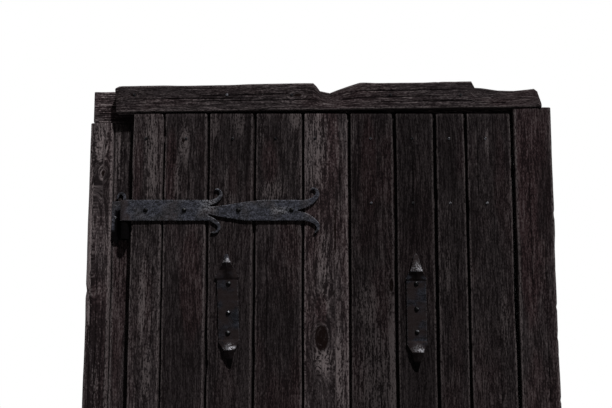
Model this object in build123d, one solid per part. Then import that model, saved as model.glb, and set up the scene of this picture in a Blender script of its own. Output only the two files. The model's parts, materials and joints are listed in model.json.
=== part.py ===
from build123d import *
import math
import os

# A plank door of nine boards in its timber frame, hung on two forged strap hinges. Millimetres.
# X runs to the right seen from the front, Y runs back into the wall, and Z is up.
# The origin is the middle of the foot of the whole door, on the surface the jambs stand on.

# Door leaf
LEAF_HEIGHT = 1900.0
FLOOR_GAP = 12.0
PLANK_WIDTHS = (65.0, 90.0, 93.0, 99.0, 94.0, 92.0, 80.0, 62.0, 94.0)
PLANK_GAPS = (3.0, 5.0, 5.0, 3.0, 4.0, 5.0, 5.0, 3.5)
PLANK_THICK = 24.0
LAP_WIDTH = 10.0
LAP_CLEAR = 0.3
EDGE_BEVEL = 1.5
LEDGE_THICK = 25.0
LEDGE_HEIGHT = 210.0
TOP_LEDGE_DROP = 28.0
MIDDLE_LEDGE_Z = 975.0
BOTTOM_LEDGE_RISE = 28.0
LEDGE_BEVEL = 4.0
LEDGE_END_CLEAR = 5.0

# Frame
FRAME_DEPTH = 110.0
JAMB_LEFT_WIDTH = 52.0
JAMB_LEFT_SETBACK = 20.0
JAMB_RIGHT_WIDTH = 82.5
JAMB_RIGHT_SETBACK = 1.0
HINGE_GAP = 44.0
LATCH_GAP = 6.0
STOP_CLEAR = 1.0
STOP_LEFT_WIDTH = 62.0
STOP_LEFT_THICK = 40.0
STOP_RIGHT_WIDTH = 26.0
STOP_RIGHT_THICK = 24.0
HEADER_OVERLAP = 16.0
HEADER_HEIGHT = 72.0
HEADER_FALL = 12.0
HEADER_END_INSETS = (6.0, 26.0)
LINTEL_PROUD = 3.0
POST_BEVEL = 3.0

# Outline of the front lintel, as heights above the leaf's top at distances from the frame's left side,
# its middle line and its right side
LINTEL_LEFT_FOOT = (60.0, 2.0)
LINTEL_LEFT_TOP = ((56.5, 55.0), (66.5, 60.0), (243.5, 63.0))
LINTEL_NOTCH = ((-9.0, 67.0), (-4.0, 50.5), (21.0, 44.5))
LINTEL_ARCH_MID = (52.0, 56.5)
LINTEL_ARCH_END = (86.0, 68.0)
LINTEL_RIGHT_TOP = ((168.5, 71.0), (166.5, 57.0), (146.0, 55.5), (115.5, 50.5), (79.0, 50.5), (31.5, 55.5),
                    (24.0, 30.0))
LINTEL_RIGHT_FOOT = (21.0, 14.0)

# Strap hinges, with the height of the strap's middle below the leaf's top
STRAP_THICK = 5.5
STRAP_HEIGHT = 43.5
STRAP_DROP = 207.8
LOWER_STRAP_RISE = 209.0
FIRST_TAIL_X = 175.5
SECOND_TAIL_X = 363.0
NECK_HALF = 8.0
NECK_UPPER = ((8.0, 8.0), (34.0, 10.5), (57.0, 14.5), (82.0, 18.5))
NECK_LOWER = ((3.0, 9.0), (36.0, 15.5))
NECK_LENGTHS = (112.0, 78.0)
TAIL_REACH = 48.0
PIN_RADIUS = 5.0
PIN_CLEAR = 0.08
PIN_SIDE_CLEAR = 1.6
PIN_PROUD = 1.5
PIN_BEVEL = 1.0
PIN_FOOT = (7.0, 2.0)
ARM_HEIGHT = 38.0
ARM_WALL = 3.0
SEAT_GAP = 0.3
PLATE_THICK = 5.0
PLATE_LEFT_INSET = 0.5
PLATE_WIDTH = 28.0
PLATE_TAIL_INSET = 8.0
PLATE_NAIL_INSET = 6.5
PLATE_NAIL_SPREAD = 26.0
# A curl is a list of distances along the strap, out from the strap's edge, and half widths
FIRST_UPPER_CURL = ((-4.0, -6.0, 6.0), (6.0, -5.2, 5.2), (14.5, -1.8, 4.8), (22.5, 4.0, 4.2),
                    (26.5, 12.0, 3.2), (24.0, 19.0, 2.5), (18.0, 22.5, 2.0), (13.0, 20.5, 1.3))
FIRST_LOWER_CURL = ((-4.0, -5.5, 5.5), (4.0, -4.2, 4.6), (12.5, 0.4, 4.4), (20.5, 7.5, 3.8),
                    (23.0, 15.0, 3.2), (19.0, 21.8, 2.6), (12.0, 24.8, 2.1), (5.0, 24.4, 1.4))
SECOND_UPPER_CURL = ((-8.0, -11.0, 11.0), (10.0, -9.0, 9.0), (24.0, -4.5, 7.0), (36.0, 4.0, 5.0),
                     (41.5, 14.0, 3.8), (38.0, 22.5, 2.6), (31.5, 24.5, 1.9), (27.0, 21.0, 1.3))
SECOND_LOWER_CURL = ((-8.0, -11.0, 11.0), (10.0, -9.0, 9.0), (24.0, -5.0, 7.0), (36.0, 2.5, 5.0),
                     (42.5, 11.5, 3.8), (41.0, 20.0, 2.6), (34.0, 24.5, 1.4))
PLATE_TOP_CURL = ((-3.5, -7.0, 4.0), (-2.5, 2.0, 3.2), (-2.5, 10.0, 3.0), (-6.0, 16.5, 2.8),
                  (-12.0, 17.0, 2.4), (-16.0, 12.0, 2.0), (-17.0, 5.0, 1.5))
PLATE_TAIL_CURL = ((-2.0, -7.0, 6.0), (-0.5, -1.5, 5.0), (1.5, 3.0, 3.8), (1.5, 7.5, 2.4))

# Forged cleats, left and right: the number of the board each is on, its shift from that board's middle, its
# lean, how far its top is below the leaf's top, and how far its rivets are below its own top
CLEAT_BOARD_NUMBERS = (3, 7)
CLEAT_SHIFTS = (-2.0, -1.5)
CLEAT_LEANS = (-2.5, 0.0)
CLEAT_DROP = 299.0
CLEAT_LENGTHS = (232.0, 238.0)
CLEAT_BODY_WIDTHS = (43.0, 41.0)
CLEAT_RIVET_DROPS = ((62.0, 122.0, 163.0), (62.0, 114.0, 161.0))
CLEAT_BODY_THICK = 4.5
CLEAT_TIP_WIDTH = 6.0
CLEAT_TIP_THICK = 3.0
# Each cleat's pointed leaves: distance from the tip and width at the crest it is bent out to, then at its
# shoulder. The depths of a crest's outer and inner side off the board, and the run from shoulder to flat body
CLEAT_UPPER_LEAVES = ((18.0, 18.0, 48.0, 50.0), (37.0, 27.0, 50.0, 42.0))
CLEAT_LOWER_LEAVES = ((35.0, 24.0, 50.0, 42.0), (36.0, 25.0, 53.0, 42.0))
CLEAT_CREST_DEPTHS = (15.0, 10.5)
CLEAT_NECK = 6.0

# Fasteners
RIVET_HEAD = (5.5, 2.4, 4.0)
RIVET_SHANK = 3.0
RIVET_TAIL = (5.0, 2.0)
NAIL_HEAD = (3.2, 2.0, 1.6)
NAIL_SHANK = 1.5
NAIL_BLIND = 6.0
HOLE_CLEAR = 0.05
STRAP_RIVETS_X = (44.5, 125.0, 238.5, 349.5)
NAIL_FROM_LEDGE_TOP = 26.0
NAIL_FROM_LEDGE_FOOT = 46.0
NAIL_SHIFTS = (-4.0, 1.0, 3.0, -7.0, -23.0, -2.0, -5.0, -3.0, -7.0)
LINTEL_NAILS_FROM_LEFT = (98.5, 295.5, 433.5, 643.5, 793.5)
LINTEL_NAIL_RISE = 40.0
STOP_NAIL_COUNT = 4
STOP_NAIL_RISE = 260.0
STOP_NAIL_DROP = 100.0
FRAME_NAIL_BITE = 34.0

# Ring pull, above the middle of the middle ledge
PULL_RISE = 35.0
ROSE_RADIUS = 30.0
ROSE_THICK = 4.0
ROSE_BEVEL = 1.5
EYE_RADIUS = 11.0
EYE_WIRE = 4.0
EYE_NECK = 1.0
RING_RADIUS = 42.0
RING_WIRE = 5.0
RING_CLEAR = 0.5
RING_HANG = EYE_RADIUS - EYE_WIRE - RING_WIRE - RING_CLEAR
NUT_WIDTH = 16.0
NUT_THICK = 7.0

# Sliding bolt on the inner face
BOLT_RISE = 55.0
BOLT_HEIGHT = 22.0
BOLT_THICK = 9.0
BOLT_LENGTH = 265.0
BOLT_TIP_CLEAR = 7.0
BOLT_TRAVEL = 60.0
BOLT_PLATE_THICK = 3.0
BOLT_PLATE_HEIGHT = 62.0
BOLT_PLATE_LENGTH = 190.0
BOLT_RUN_GAP = 0.3
GUIDE_WIDTH = 18.0
GUIDE_THICK = 4.0
GUIDE_EAR = 12.0
GUIDE_INSET = 6.0
GUIDE_NAIL_SHANK = 2.0
GUIDE_NAIL_BITE = 11.0
PLATE_END_INSET = 8.0
KNOB_FROM_TIP = 146.0
KNOB_RADIUS = 8.0
KNOB_STEM = 4.0
KNOB_REACH = 20.0
BAR_BEVEL = 1.5
MORTISE_CLEAR = 2.0
MORTISE_END_CLEAR = 4.0
KEEP_THICK = 3.0
KEEP_BACK_MARGIN = 12.0
KEEP_END_MARGIN = 24.0

# How far a cutter runs past the surface it opens
PAST = 1.0

# Depths behind the front of the boards, with the whole door centred on Y
EYE_STANDOFF = ROSE_THICK + EYE_NECK + EYE_WIRE + EYE_RADIUS
FRONT_REACH = EYE_STANDOFF + EYE_RADIUS + EYE_WIRE
FACE = (FRONT_REACH - FRAME_DEPTH) / 2
PLANK_BACK = FACE + PLANK_THICK
LEDGE_BACK = PLANK_BACK + LEDGE_THICK
STOP_FACE = PLANK_BACK + STOP_CLEAR
BACK = FACE + FRAME_DEPTH

# Places along X, with the whole frame centred on X
LEAF_WIDTH = sum(PLANK_WIDTHS) + sum(PLANK_GAPS)
FRAME_HALF = (JAMB_LEFT_WIDTH + HINGE_GAP + LEAF_WIDTH + LATCH_GAP + JAMB_RIGHT_WIDTH) / 2
JAMB_LEFT_INNER = -FRAME_HALF + JAMB_LEFT_WIDTH
LEAF_LEFT = JAMB_LEFT_INNER + HINGE_GAP
LEAF_RIGHT = LEAF_LEFT + LEAF_WIDTH
JAMB_RIGHT_INNER = LEAF_RIGHT + LATCH_GAP
STOP_LEFT_INNER = JAMB_LEFT_INNER + STOP_LEFT_WIDTH
STOP_RIGHT_INNER = JAMB_RIGHT_INNER - STOP_RIGHT_WIDTH
LEDGE_LEFT = STOP_LEFT_INNER + LEDGE_END_CLEAR
LEDGE_RIGHT = STOP_RIGHT_INNER - LEDGE_END_CLEAR

# Heights
LEAF_TOP = FLOOR_GAP + LEAF_HEIGHT
HEADER_FOOT = LEAF_TOP - HEADER_OVERLAP
HEADER_TOP = HEADER_FOOT + HEADER_HEIGHT
LEDGES = {"top": LEAF_TOP - TOP_LEDGE_DROP - LEDGE_HEIGHT / 2,
          "middle": MIDDLE_LEDGE_Z,
          "bottom": FLOOR_GAP + BOTTOM_LEDGE_RISE + LEDGE_HEIGHT / 2}
UPPER_STRAP_Z = LEAF_TOP - STRAP_DROP
LOWER_STRAP_Z = FLOOR_GAP + LOWER_STRAP_RISE

# Places of the ironwork
EYE_OUTER = PIN_RADIUS + PIN_CLEAR + STRAP_THICK
HINGE_X = LEAF_LEFT - PIN_SIDE_CLEAR - EYE_OUTER
HINGE_Y = FACE - STRAP_THICK + EYE_OUTER
ARM_HALF = PIN_RADIUS + ARM_WALL
PULL_X = LEAF_RIGHT - PLANK_WIDTHS[-1] / 2
PULL_Z = MIDDLE_LEDGE_Z + PULL_RISE
CLEAT_TOP = LEAF_TOP - CLEAT_DROP
BOLT_Z = MIDDLE_LEDGE_Z - LEDGE_HEIGHT / 2 + BOLT_RISE
BOLT_FRONT = LEDGE_BACK + BOLT_PLATE_THICK + BOLT_RUN_GAP
BOLT_BACK = BOLT_FRONT + BOLT_THICK
BOLT_TIP = STOP_RIGHT_INNER - BOLT_TIP_CLEAR
BOLT_PLATE_RIGHT = LEDGE_RIGHT - PLATE_END_INSET


def plank_edges():
    """Left and right edge of the front face of each board."""
    edges = []
    left = LEAF_LEFT
    for number, width in enumerate(PLANK_WIDTHS):
        edges.append((left, left + width))
        if number < len(PLANK_GAPS):
            left += width + PLANK_GAPS[number]
    return edges


PLANKS = plank_edges()


# Helpers


def block(x, y, z):
    """A box between the two ends given for each axis."""
    middle = [(low + high) / 2 for low, high in (x, y, z)]
    return Pos(*middle) * Box(x[1] - x[0], y[1] - y[0], z[1] - z[0])


def slab(outline, front, back):
    """A sketch drawn in X and Z, as a plate between two depths."""
    plane = Plane(origin=(0, back, 0), x_dir=(1, 0, 0), z_dir=(0, -1, 0))
    return extrude(plane * outline, amount=back - front)


def rod(x, z, radius, front, back):
    """A round bar along Y."""
    return Pos(x, (front + back) / 2, z) * Rot(90, 0, 0) * Cylinder(radius, back - front)


def fastener(x, z, seat, head, shank, tip, tail=None):
    """A nail or rivet along Y, with its head in front of seat and a peened tail if one is given."""
    base, crown, height = head
    solid = Pos(x, seat - height / 2, z) * Rot(90, 0, 0) * Cone(base, crown, height)
    solid += rod(x, z, shank, seat, tip)
    if tail:
        solid += rod(x, z, tail[0], tip, tip + tail[1])
    return solid


def rivet(x, z, seat, tip):
    return fastener(x, z, seat, RIVET_HEAD, RIVET_SHANK, tip, RIVET_TAIL)


def nail(x, z, seat, tip):
    return fastener(x, z, seat, NAIL_HEAD, NAIL_SHANK, tip)


def curl(spine, origin, flip):
    """A tapering forged curl: its spine starts at origin, and flip is 1 for up and -1 for down."""
    points = [(origin[0] + along, origin[1] + flip * out) for along, out, _ in spine]
    left, right = [], []
    for number, (x, z) in enumerate(points):
        before = points[max(number - 1, 0)]
        after = points[min(number + 1, len(points) - 1)]
        run, rise = after[0] - before[0], after[1] - before[1]
        half = spine[number][2] / math.hypot(run, rise)
        left.append((x - rise * half, z + run * half))
        right.append((x + rise * half, z - run * half))
    edges = [Spline(*left), Line(left[-1], right[-1]), Spline(*reversed(right)), Line(right[0], left[0])]
    return make_face(edges)


# Where each fastener goes


def strap_rivets(z):
    return [(HINGE_X + along, z) for along in STRAP_RIVETS_X]


def cleat_middle(side):
    left, right = PLANKS[CLEAT_BOARD_NUMBERS[side] - 1]
    return (left + right) / 2 + CLEAT_SHIFTS[side]


def cleat_rivets(side):
    return [(cleat_middle(side), CLEAT_TOP - drop) for drop in CLEAT_RIVET_DROPS[side]]


def plank_nails():
    """A nail through each board into each ledge near its top and foot, left out under other ironwork."""
    found = []
    for middle in LEDGES.values():
        upper = middle + LEDGE_HEIGHT / 2 - NAIL_FROM_LEDGE_TOP
        lower = middle - LEDGE_HEIGHT / 2 + NAIL_FROM_LEDGE_FOOT
        for z in (upper, lower):
            for (left, right), shift in zip(PLANKS, NAIL_SHIFTS):
                x = (left + right) / 2 + shift
                if not (under_strap(x, z) or under_pull(x, z)):
                    found.append((x, z))
    return found


def under_strap(x, z):
    reach = STRAP_HEIGHT / 2 + NAIL_HEAD[0]
    covered = any(abs(z - middle) < reach for middle in (UPPER_STRAP_Z, LOWER_STRAP_Z))
    return covered and x < HINGE_X + SECOND_TAIL_X + TAIL_REACH


def under_pull(x, z):
    return math.hypot(x - PULL_X, z - PULL_Z) < ROSE_RADIUS + NAIL_HEAD[0]


def leaf_back(x, z):
    """Depth of the leaf's inner side at a place: the back of a ledge, or of the boards between them."""
    over = any(abs(z - middle) < LEDGE_HEIGHT / 2 - LEDGE_BEVEL for middle in LEDGES.values())
    inside = LEDGE_LEFT + LEDGE_BEVEL < x < LEDGE_RIGHT - LEDGE_BEVEL
    return LEDGE_BACK if over and inside else PLANK_BACK


def lintel_nails():
    return [(-FRAME_HALF + along, LEAF_TOP + LINTEL_NAIL_RISE) for along in LINTEL_NAILS_FROM_LEFT]


def drill(timber, places, radius, front, back):
    """Holes along Y through timber at those of the places that lie inside its outline."""
    bounds = timber.bounding_box()
    for x, z in places:
        if bounds.min.X < x < bounds.max.X and bounds.min.Z < z < bounds.max.Z:
            timber -= rod(x, z, radius + HOLE_CLEAR, front, back)
    return timber


def drill_leaf(timber, back):
    """The holes of every fastener that passes through the boards and ledges."""
    front = FACE - PAST
    rivets = strap_rivets(UPPER_STRAP_Z) + strap_rivets(LOWER_STRAP_Z) + cleat_rivets(0) + cleat_rivets(1)
    timber = drill(timber, rivets, RIVET_SHANK, front, back + PAST)
    timber = drill(timber, plank_nails(), NAIL_SHANK, front, min(back + PAST, LEDGE_BACK - NAIL_BLIND))
    return drill(timber, [(PULL_X, PULL_Z)], EYE_WIRE, front, back + PAST)


# Door leaf


def plank_section(number):
    """The section of a board seen from above: its edges are half lapped behind the next board."""
    left, right = PLANKS[number]
    half = FACE + PLANK_THICK / 2
    points = [(left, FACE + EDGE_BEVEL), (left + EDGE_BEVEL, FACE), (right - EDGE_BEVEL, FACE),
              (right, FACE + EDGE_BEVEL)]
    if number == len(PLANKS) - 1:
        points += [(right, PLANK_BACK)]
    else:
        lap = PLANK_GAPS[number] + LAP_WIDTH
        points += [(right, half), (right + lap, half), (right + lap, PLANK_BACK)]
    if number == 0:
        points += [(left, PLANK_BACK)]
    else:
        lap = LAP_WIDTH + LAP_CLEAR
        points += [(left + lap, PLANK_BACK), (left + lap, half - LAP_CLEAR), (left, half - LAP_CLEAR)]
    return make_face(Polyline(*points, close=True))


def plank(number):
    board = extrude(Pos(0, 0, FLOOR_GAP) * plank_section(number), amount=LEAF_TOP - FLOOR_GAP)
    return drill_leaf(board, PLANK_BACK)


def ledge(place):
    """A wide board across the back of the leaf, bevelled round its inner face."""
    z = LEDGES[place]
    timber = block((LEDGE_LEFT, LEDGE_RIGHT), (PLANK_BACK, LEDGE_BACK),
                   (z - LEDGE_HEIGHT / 2, z + LEDGE_HEIGHT / 2))
    timber = chamfer(timber.faces().sort_by(Axis.Y)[-1].edges(), LEDGE_BEVEL)
    timber = drill_leaf(timber, LEDGE_BACK)
    if place == "middle":
        timber = drill(timber, guide_nails(), GUIDE_NAIL_SHANK, LEDGE_BACK - GUIDE_NAIL_BITE, LEDGE_BACK + PAST)
    return timber


# Strap hinges


def neck_edge(points, length):
    """An edge of a strap's second length, which widens from its neck to the full height, from the first tails."""
    half = STRAP_HEIGHT / 2
    return [(-NECK_HALF, NECK_HALF), *points, (length, half), (SECOND_TAIL_X - FIRST_TAIL_X, half)]


def strap(z):
    """A forged strap: two lengths that each end in a pair of curls, and a rolled eye."""
    first, second = HINGE_X + FIRST_TAIL_X, HINGE_X + SECOND_TAIL_X
    half = STRAP_HEIGHT / 2
    outline = Pos((HINGE_X + first) / 2, z) * Rectangle(first - HINGE_X, STRAP_HEIGHT)
    upper = neck_edge(NECK_UPPER, NECK_LENGTHS[0])
    lower = [(along, -out) for along, out in reversed(neck_edge(NECK_LOWER, NECK_LENGTHS[1]))]
    outline += make_face(Polyline(*[(first + along, z + out) for along, out in upper + lower], close=True))
    for spine, start, flip in ((FIRST_UPPER_CURL, first, 1), (FIRST_LOWER_CURL, first, -1),
                               (SECOND_UPPER_CURL, second, 1), (SECOND_LOWER_CURL, second, -1)):
        outline += curl(spine, (start, z + flip * half), flip)
    bar = slab(outline, FACE - STRAP_THICK, FACE)
    bar += Pos(HINGE_X, HINGE_Y, z) * Cylinder(EYE_OUTER, STRAP_HEIGHT)
    bar -= Pos(HINGE_X, HINGE_Y, z) * Cylinder(PIN_RADIUS + PIN_CLEAR, STRAP_HEIGHT + 2 * PAST)
    return drill(bar, strap_rivets(z), RIVET_SHANK, FACE - STRAP_THICK - PAST, FACE + PAST)


def pintle_top(z):
    """Height of the seat under a strap's eye."""
    return z - STRAP_HEIGHT / 2 - SEAT_GAP


def pintle_nails(z):
    x = JAMB_LEFT_INNER + PLATE_LEFT_INSET + PLATE_NAIL_INSET
    return [(x, z + PLATE_NAIL_SPREAD / 2), (x, z - PLATE_NAIL_SPREAD / 2)]


def pintle_plate(z):
    """The jamb's half of a hinge: a plate with a curl above and below, and an arm that carries the pin."""
    left = JAMB_LEFT_INNER + PLATE_LEFT_INSET
    right = left + PLATE_WIDTH
    front = STOP_FACE - PLATE_THICK
    seat = pintle_top(z)
    top, foot = z + STRAP_HEIGHT / 2, seat - ARM_HEIGHT
    outline = Pos((left + right) / 2, (top + foot) / 2) * Rectangle(right - left, top - foot)
    outline += curl(PLATE_TOP_CURL, (right, top), 1)
    outline += curl(PLATE_TAIL_CURL, (left + PLATE_TAIL_INSET, foot), -1)
    plate = drill(slab(outline, front, STOP_FACE), pintle_nails(z), NAIL_SHANK, front - PAST, STOP_FACE + PAST)
    plate += block((left, HINGE_X + ARM_HALF), (front, STOP_FACE), (foot, seat))
    plate += block((HINGE_X - ARM_HALF, HINGE_X + ARM_HALF), (HINGE_Y, front), (foot, seat))
    plate += Pos(HINGE_X, HINGE_Y, foot + ARM_HEIGHT / 2) * Cylinder(ARM_HALF, ARM_HEIGHT)
    bore = Cylinder(PIN_RADIUS + HOLE_CLEAR, ARM_HEIGHT + 2 * PAST)
    return plate - Pos(HINGE_X, HINGE_Y, foot + ARM_HEIGHT / 2) * bore


def pintle_pin(z):
    """The pin through the arm and the strap's eye, with a peened foot under the arm."""
    foot = pintle_top(z) - ARM_HEIGHT
    top = z + STRAP_HEIGHT / 2 + PIN_PROUD
    pin = Pos(HINGE_X, HINGE_Y, (foot + top) / 2) * Cylinder(PIN_RADIUS, top - foot)
    pin = chamfer(pin.edges().sort_by(Axis.Z)[-1], PIN_BEVEL)
    radius, thick = PIN_FOOT
    return pin + Pos(HINGE_X, HINGE_Y, foot - thick / 2) * Cylinder(radius, thick)


# Cleats


def cleat(side):
    """A forged plate: a flat body between two pointed leaves, each bent out to a crest and back."""
    x, foot = cleat_middle(side), CLEAT_TOP - CLEAT_LENGTHS[side]
    leaves = [(CLEAT_TOP, -1, CLEAT_UPPER_LEAVES[side]), (foot, 1, CLEAT_LOWER_LEAVES[side])]
    outline = cleat_outline(x, CLEAT_BODY_WIDTHS[side], leaves)
    reach = outline.bounding_box().size.X
    plane = Plane(origin=(x - reach, 0, 0), x_dir=(0, 1, 0), z_dir=(1, 0, 0))
    bent = extrude(plane * cleat_side(leaves), amount=2 * reach)
    plate = bent & slab(outline, FACE - CLEAT_CREST_DEPTHS[0] - PAST, FACE + PAST)
    middle = CLEAT_TOP - CLEAT_RIVET_DROPS[side][1]
    plate = Pos(x, 0, middle) * Rot(0, CLEAT_LEANS[side], 0) * Pos(-x, 0, -middle) * plate
    return drill(plate, cleat_rivets(side), RIVET_SHANK, FACE - CLEAT_CREST_DEPTHS[0], FACE + PAST)


def cleat_side(leaves):
    """The section through a cleat's middle, as depth and height: the sheet is bent out in each leaf."""
    outer, inner = CLEAT_CREST_DEPTHS
    necks = [end + toward * (shoulder + CLEAT_NECK) for end, toward, (_, _, shoulder, _) in leaves]
    body = Rectangle(CLEAT_BODY_THICK, necks[0] - necks[1])
    outline = Pos(FACE - CLEAT_BODY_THICK / 2, sum(necks) / 2) * body
    for (end, toward, (crest, _, _, _)), neck in zip(leaves, necks):
        at_crest = end + toward * crest
        points = [(CLEAT_TIP_THICK, end), (outer, at_crest), (CLEAT_BODY_THICK, neck), (0.0, neck),
                  (inner, at_crest), (0.0, end)]
        outline += make_face(Polyline(*[(FACE - depth, z) for depth, z in points], close=True))
    return outline


def cleat_outline(x, body, leaves):
    """The front outline: a straight bar between two pointed leaves."""
    side = []
    for end, toward, (crest, crest_width, shoulder, shoulder_width) in leaves:
        edge = [(CLEAT_TIP_WIDTH / 2, end), (crest_width / 2, end + toward * crest),
                (shoulder_width / 2, end + toward * shoulder),
                (body / 2, end + toward * (shoulder + CLEAT_NECK))]
        side += edge if toward < 0 else edge[::-1]
    right = [(x + half, z) for half, z in side]
    left = [(x - half, z) for half, z in reversed(side)]
    return make_face(Polyline(*right, *left, close=True))


# Ring pull


def pull_rose():
    """The round plate behind the ring."""
    rose = rod(PULL_X, PULL_Z, ROSE_RADIUS, FACE - ROSE_THICK, FACE)
    rose = chamfer(rose.edges().group_by(Axis.Y)[0], ROSE_BEVEL)
    return rose - rod(PULL_X, PULL_Z, EYE_WIRE + HOLE_CLEAR, FACE - ROSE_THICK - PAST, FACE + PAST)


def pull_eye():
    """The eye that carries the ring, its shank through the leaf to a nut."""
    centre = FACE - EYE_STANDOFF
    eye = Pos(PULL_X, centre, PULL_Z) * Rot(0, 90, 0) * Torus(EYE_RADIUS, EYE_WIRE)
    return eye + rod(PULL_X, PULL_Z, EYE_WIRE, centre + EYE_RADIUS, leaf_back(PULL_X, PULL_Z) + NUT_THICK)


def pull_nut():
    """A square nut on the eye's shank."""
    seat = leaf_back(PULL_X, PULL_Z)
    nut = Pos(PULL_X, seat + NUT_THICK / 2, PULL_Z) * Box(NUT_WIDTH, NUT_THICK, NUT_WIDTH)
    return nut - rod(PULL_X, PULL_Z, EYE_WIRE + HOLE_CLEAR, seat - PAST, seat + NUT_THICK + PAST)


def pull_ring():
    """The ring, hanging in the eye."""
    centre = PULL_Z - RING_HANG - RING_RADIUS
    return Pos(PULL_X, FACE - EYE_STANDOFF, centre) * Rot(90, 0, 0) * Torus(RING_RADIUS, RING_WIRE)


# Sliding bolt


def bolt_bar():
    """The bar, with a knob between the guides."""
    low, high = BOLT_Z - BOLT_HEIGHT / 2, BOLT_Z + BOLT_HEIGHT / 2
    bar = block((BOLT_TIP - BOLT_LENGTH, BOLT_TIP), (BOLT_FRONT, BOLT_BACK), (low, high))
    bar = chamfer(bar.faces().sort_by(Axis.X)[-1].edges(), BAR_BEVEL)
    knob_x, knob_y = BOLT_TIP - KNOB_FROM_TIP, BOLT_BACK + KNOB_REACH
    bar += rod(knob_x, BOLT_Z, KNOB_STEM, BOLT_BACK - PAST, knob_y)
    return bar + Pos(knob_x, knob_y, BOLT_Z) * Sphere(KNOB_RADIUS)


def guide_centres():
    inset = GUIDE_INSET + GUIDE_WIDTH / 2
    return BOLT_PLATE_RIGHT - BOLT_PLATE_LENGTH + inset, BOLT_PLATE_RIGHT - inset


def guide_nails():
    """A nail through each ear of the guides."""
    reach = BOLT_HEIGHT / 2 + BOLT_RUN_GAP + GUIDE_THICK + GUIDE_EAR / 2
    return [(x, BOLT_Z + side * reach) for x in guide_centres() for side in (-1, 1)]


def bolt_plate():
    """The flat plate that the bar slides on."""
    back = LEDGE_BACK + BOLT_PLATE_THICK
    plate = block((BOLT_PLATE_RIGHT - BOLT_PLATE_LENGTH, BOLT_PLATE_RIGHT), (LEDGE_BACK, back),
                  (BOLT_Z - BOLT_PLATE_HEIGHT / 2, BOLT_Z + BOLT_PLATE_HEIGHT / 2))
    return drill(plate, guide_nails(), GUIDE_NAIL_SHANK, LEDGE_BACK - PAST, back + PAST)


def bolt_guide(x):
    """A bridge over the bar, with an ear above and below."""
    inner = BOLT_HEIGHT / 2 + BOLT_RUN_GAP
    outer = inner + GUIDE_THICK
    ear = outer + GUIDE_EAR
    seat = LEDGE_BACK + BOLT_PLATE_THICK
    under = BOLT_BACK + BOLT_RUN_GAP
    left, right = x - GUIDE_WIDTH / 2, x + GUIDE_WIDTH / 2
    guide = block((left, right), (seat, under + GUIDE_THICK), (BOLT_Z - outer, BOLT_Z + outer))
    guide += block((left, right), (seat, seat + GUIDE_THICK), (BOLT_Z - ear, BOLT_Z + ear))
    guide -= block((left - PAST, right + PAST), (seat - PAST, under), (BOLT_Z - inner, BOLT_Z + inner))
    return drill(guide, guide_nails(), GUIDE_NAIL_SHANK, seat - PAST, seat + GUIDE_THICK + PAST)


def guide_nail(x, z):
    """A nail from the back, through a guide's ear and the plate, into the ledge."""
    seat = LEDGE_BACK + BOLT_PLATE_THICK + GUIDE_THICK
    base, crown, height = NAIL_HEAD
    head = Pos(x, seat + height / 2, z) * Rot(-90, 0, 0) * Cone(base, crown, height)
    return head + rod(x, z, GUIDE_NAIL_SHANK, LEDGE_BACK - GUIDE_NAIL_BITE, seat)


def mortise():
    """The pocket for the bar: its ends along X, its depths and its heights."""
    reach = BOLT_HEIGHT / 2 + MORTISE_CLEAR
    return ((JAMB_RIGHT_INNER - KEEP_THICK - PAST, BOLT_TIP + BOLT_TRAVEL + MORTISE_END_CLEAR),
            (BOLT_FRONT - MORTISE_CLEAR, BOLT_BACK + MORTISE_CLEAR), (BOLT_Z - reach, BOLT_Z + reach))


def bolt_keep():
    """The iron plate round the mortise, on the jamb's inner side."""
    _, depth, height = mortise()
    front = STOP_FACE + STOP_RIGHT_THICK + HOLE_CLEAR
    plate = block((JAMB_RIGHT_INNER - KEEP_THICK, JAMB_RIGHT_INNER), (front, depth[1] + KEEP_BACK_MARGIN),
                  (height[0] - KEEP_END_MARGIN, height[1] + KEEP_END_MARGIN))
    return plate - block(*mortise())


# Frame


def lintel_points(left, middle, right):
    """Points of the lintel's outline, each list measured from its own side of the frame."""
    found = [(-FRAME_HALF + along, LEAF_TOP + rise) for along, rise in left]
    found += [(along, LEAF_TOP + rise) for along, rise in middle]
    return found + [(FRAME_HALF - along, LEAF_TOP + rise) for along, rise in right]


def lintel_foot(x):
    """Height of the lintel's underside, which rises a little to the right."""
    (x0, z0), (x1, z1) = lintel_points([LINTEL_LEFT_FOOT], [], [LINTEL_RIGHT_FOOT])
    return z0 + (z1 - z0) * (x - x0) / (x1 - x0)


def lintel():
    """The board across the front: its top is notched, then hewn in a low arch, and split off at the right."""
    before = lintel_points((LINTEL_LEFT_FOOT, *LINTEL_LEFT_TOP), LINTEL_NOTCH, [])
    arch = lintel_points([], (LINTEL_NOTCH[-1], LINTEL_ARCH_MID, LINTEL_ARCH_END), [])
    after = lintel_points([], [LINTEL_ARCH_END], (*LINTEL_RIGHT_TOP, LINTEL_RIGHT_FOOT))
    outline = make_face([Polyline(*before), ThreePointArc(*arch), Polyline(*after, before[0])])
    timber = slab(outline, FACE - LINTEL_PROUD, STOP_FACE)
    return drill(timber, lintel_nails(), NAIL_SHANK, FACE - LINTEL_PROUD - PAST, STOP_FACE + PAST)


def header():
    """The beam behind the lintel, on both jambs: it stops the top of the leaf, and its own top falls to the right."""
    ends = (-FRAME_HALF + HEADER_END_INSETS[0], FRAME_HALF - HEADER_END_INSETS[1])
    corners = [(ends[0], HEADER_FOOT), (ends[0], HEADER_TOP), (ends[1], HEADER_TOP - HEADER_FALL),
               (ends[1], HEADER_FOOT)]
    beam = slab(make_face(Polyline(*corners, close=True)), STOP_FACE, BACK)
    return drill(beam, lintel_nails(), NAIL_SHANK, STOP_FACE - PAST, STOP_FACE + FRAME_NAIL_BITE)


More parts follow.
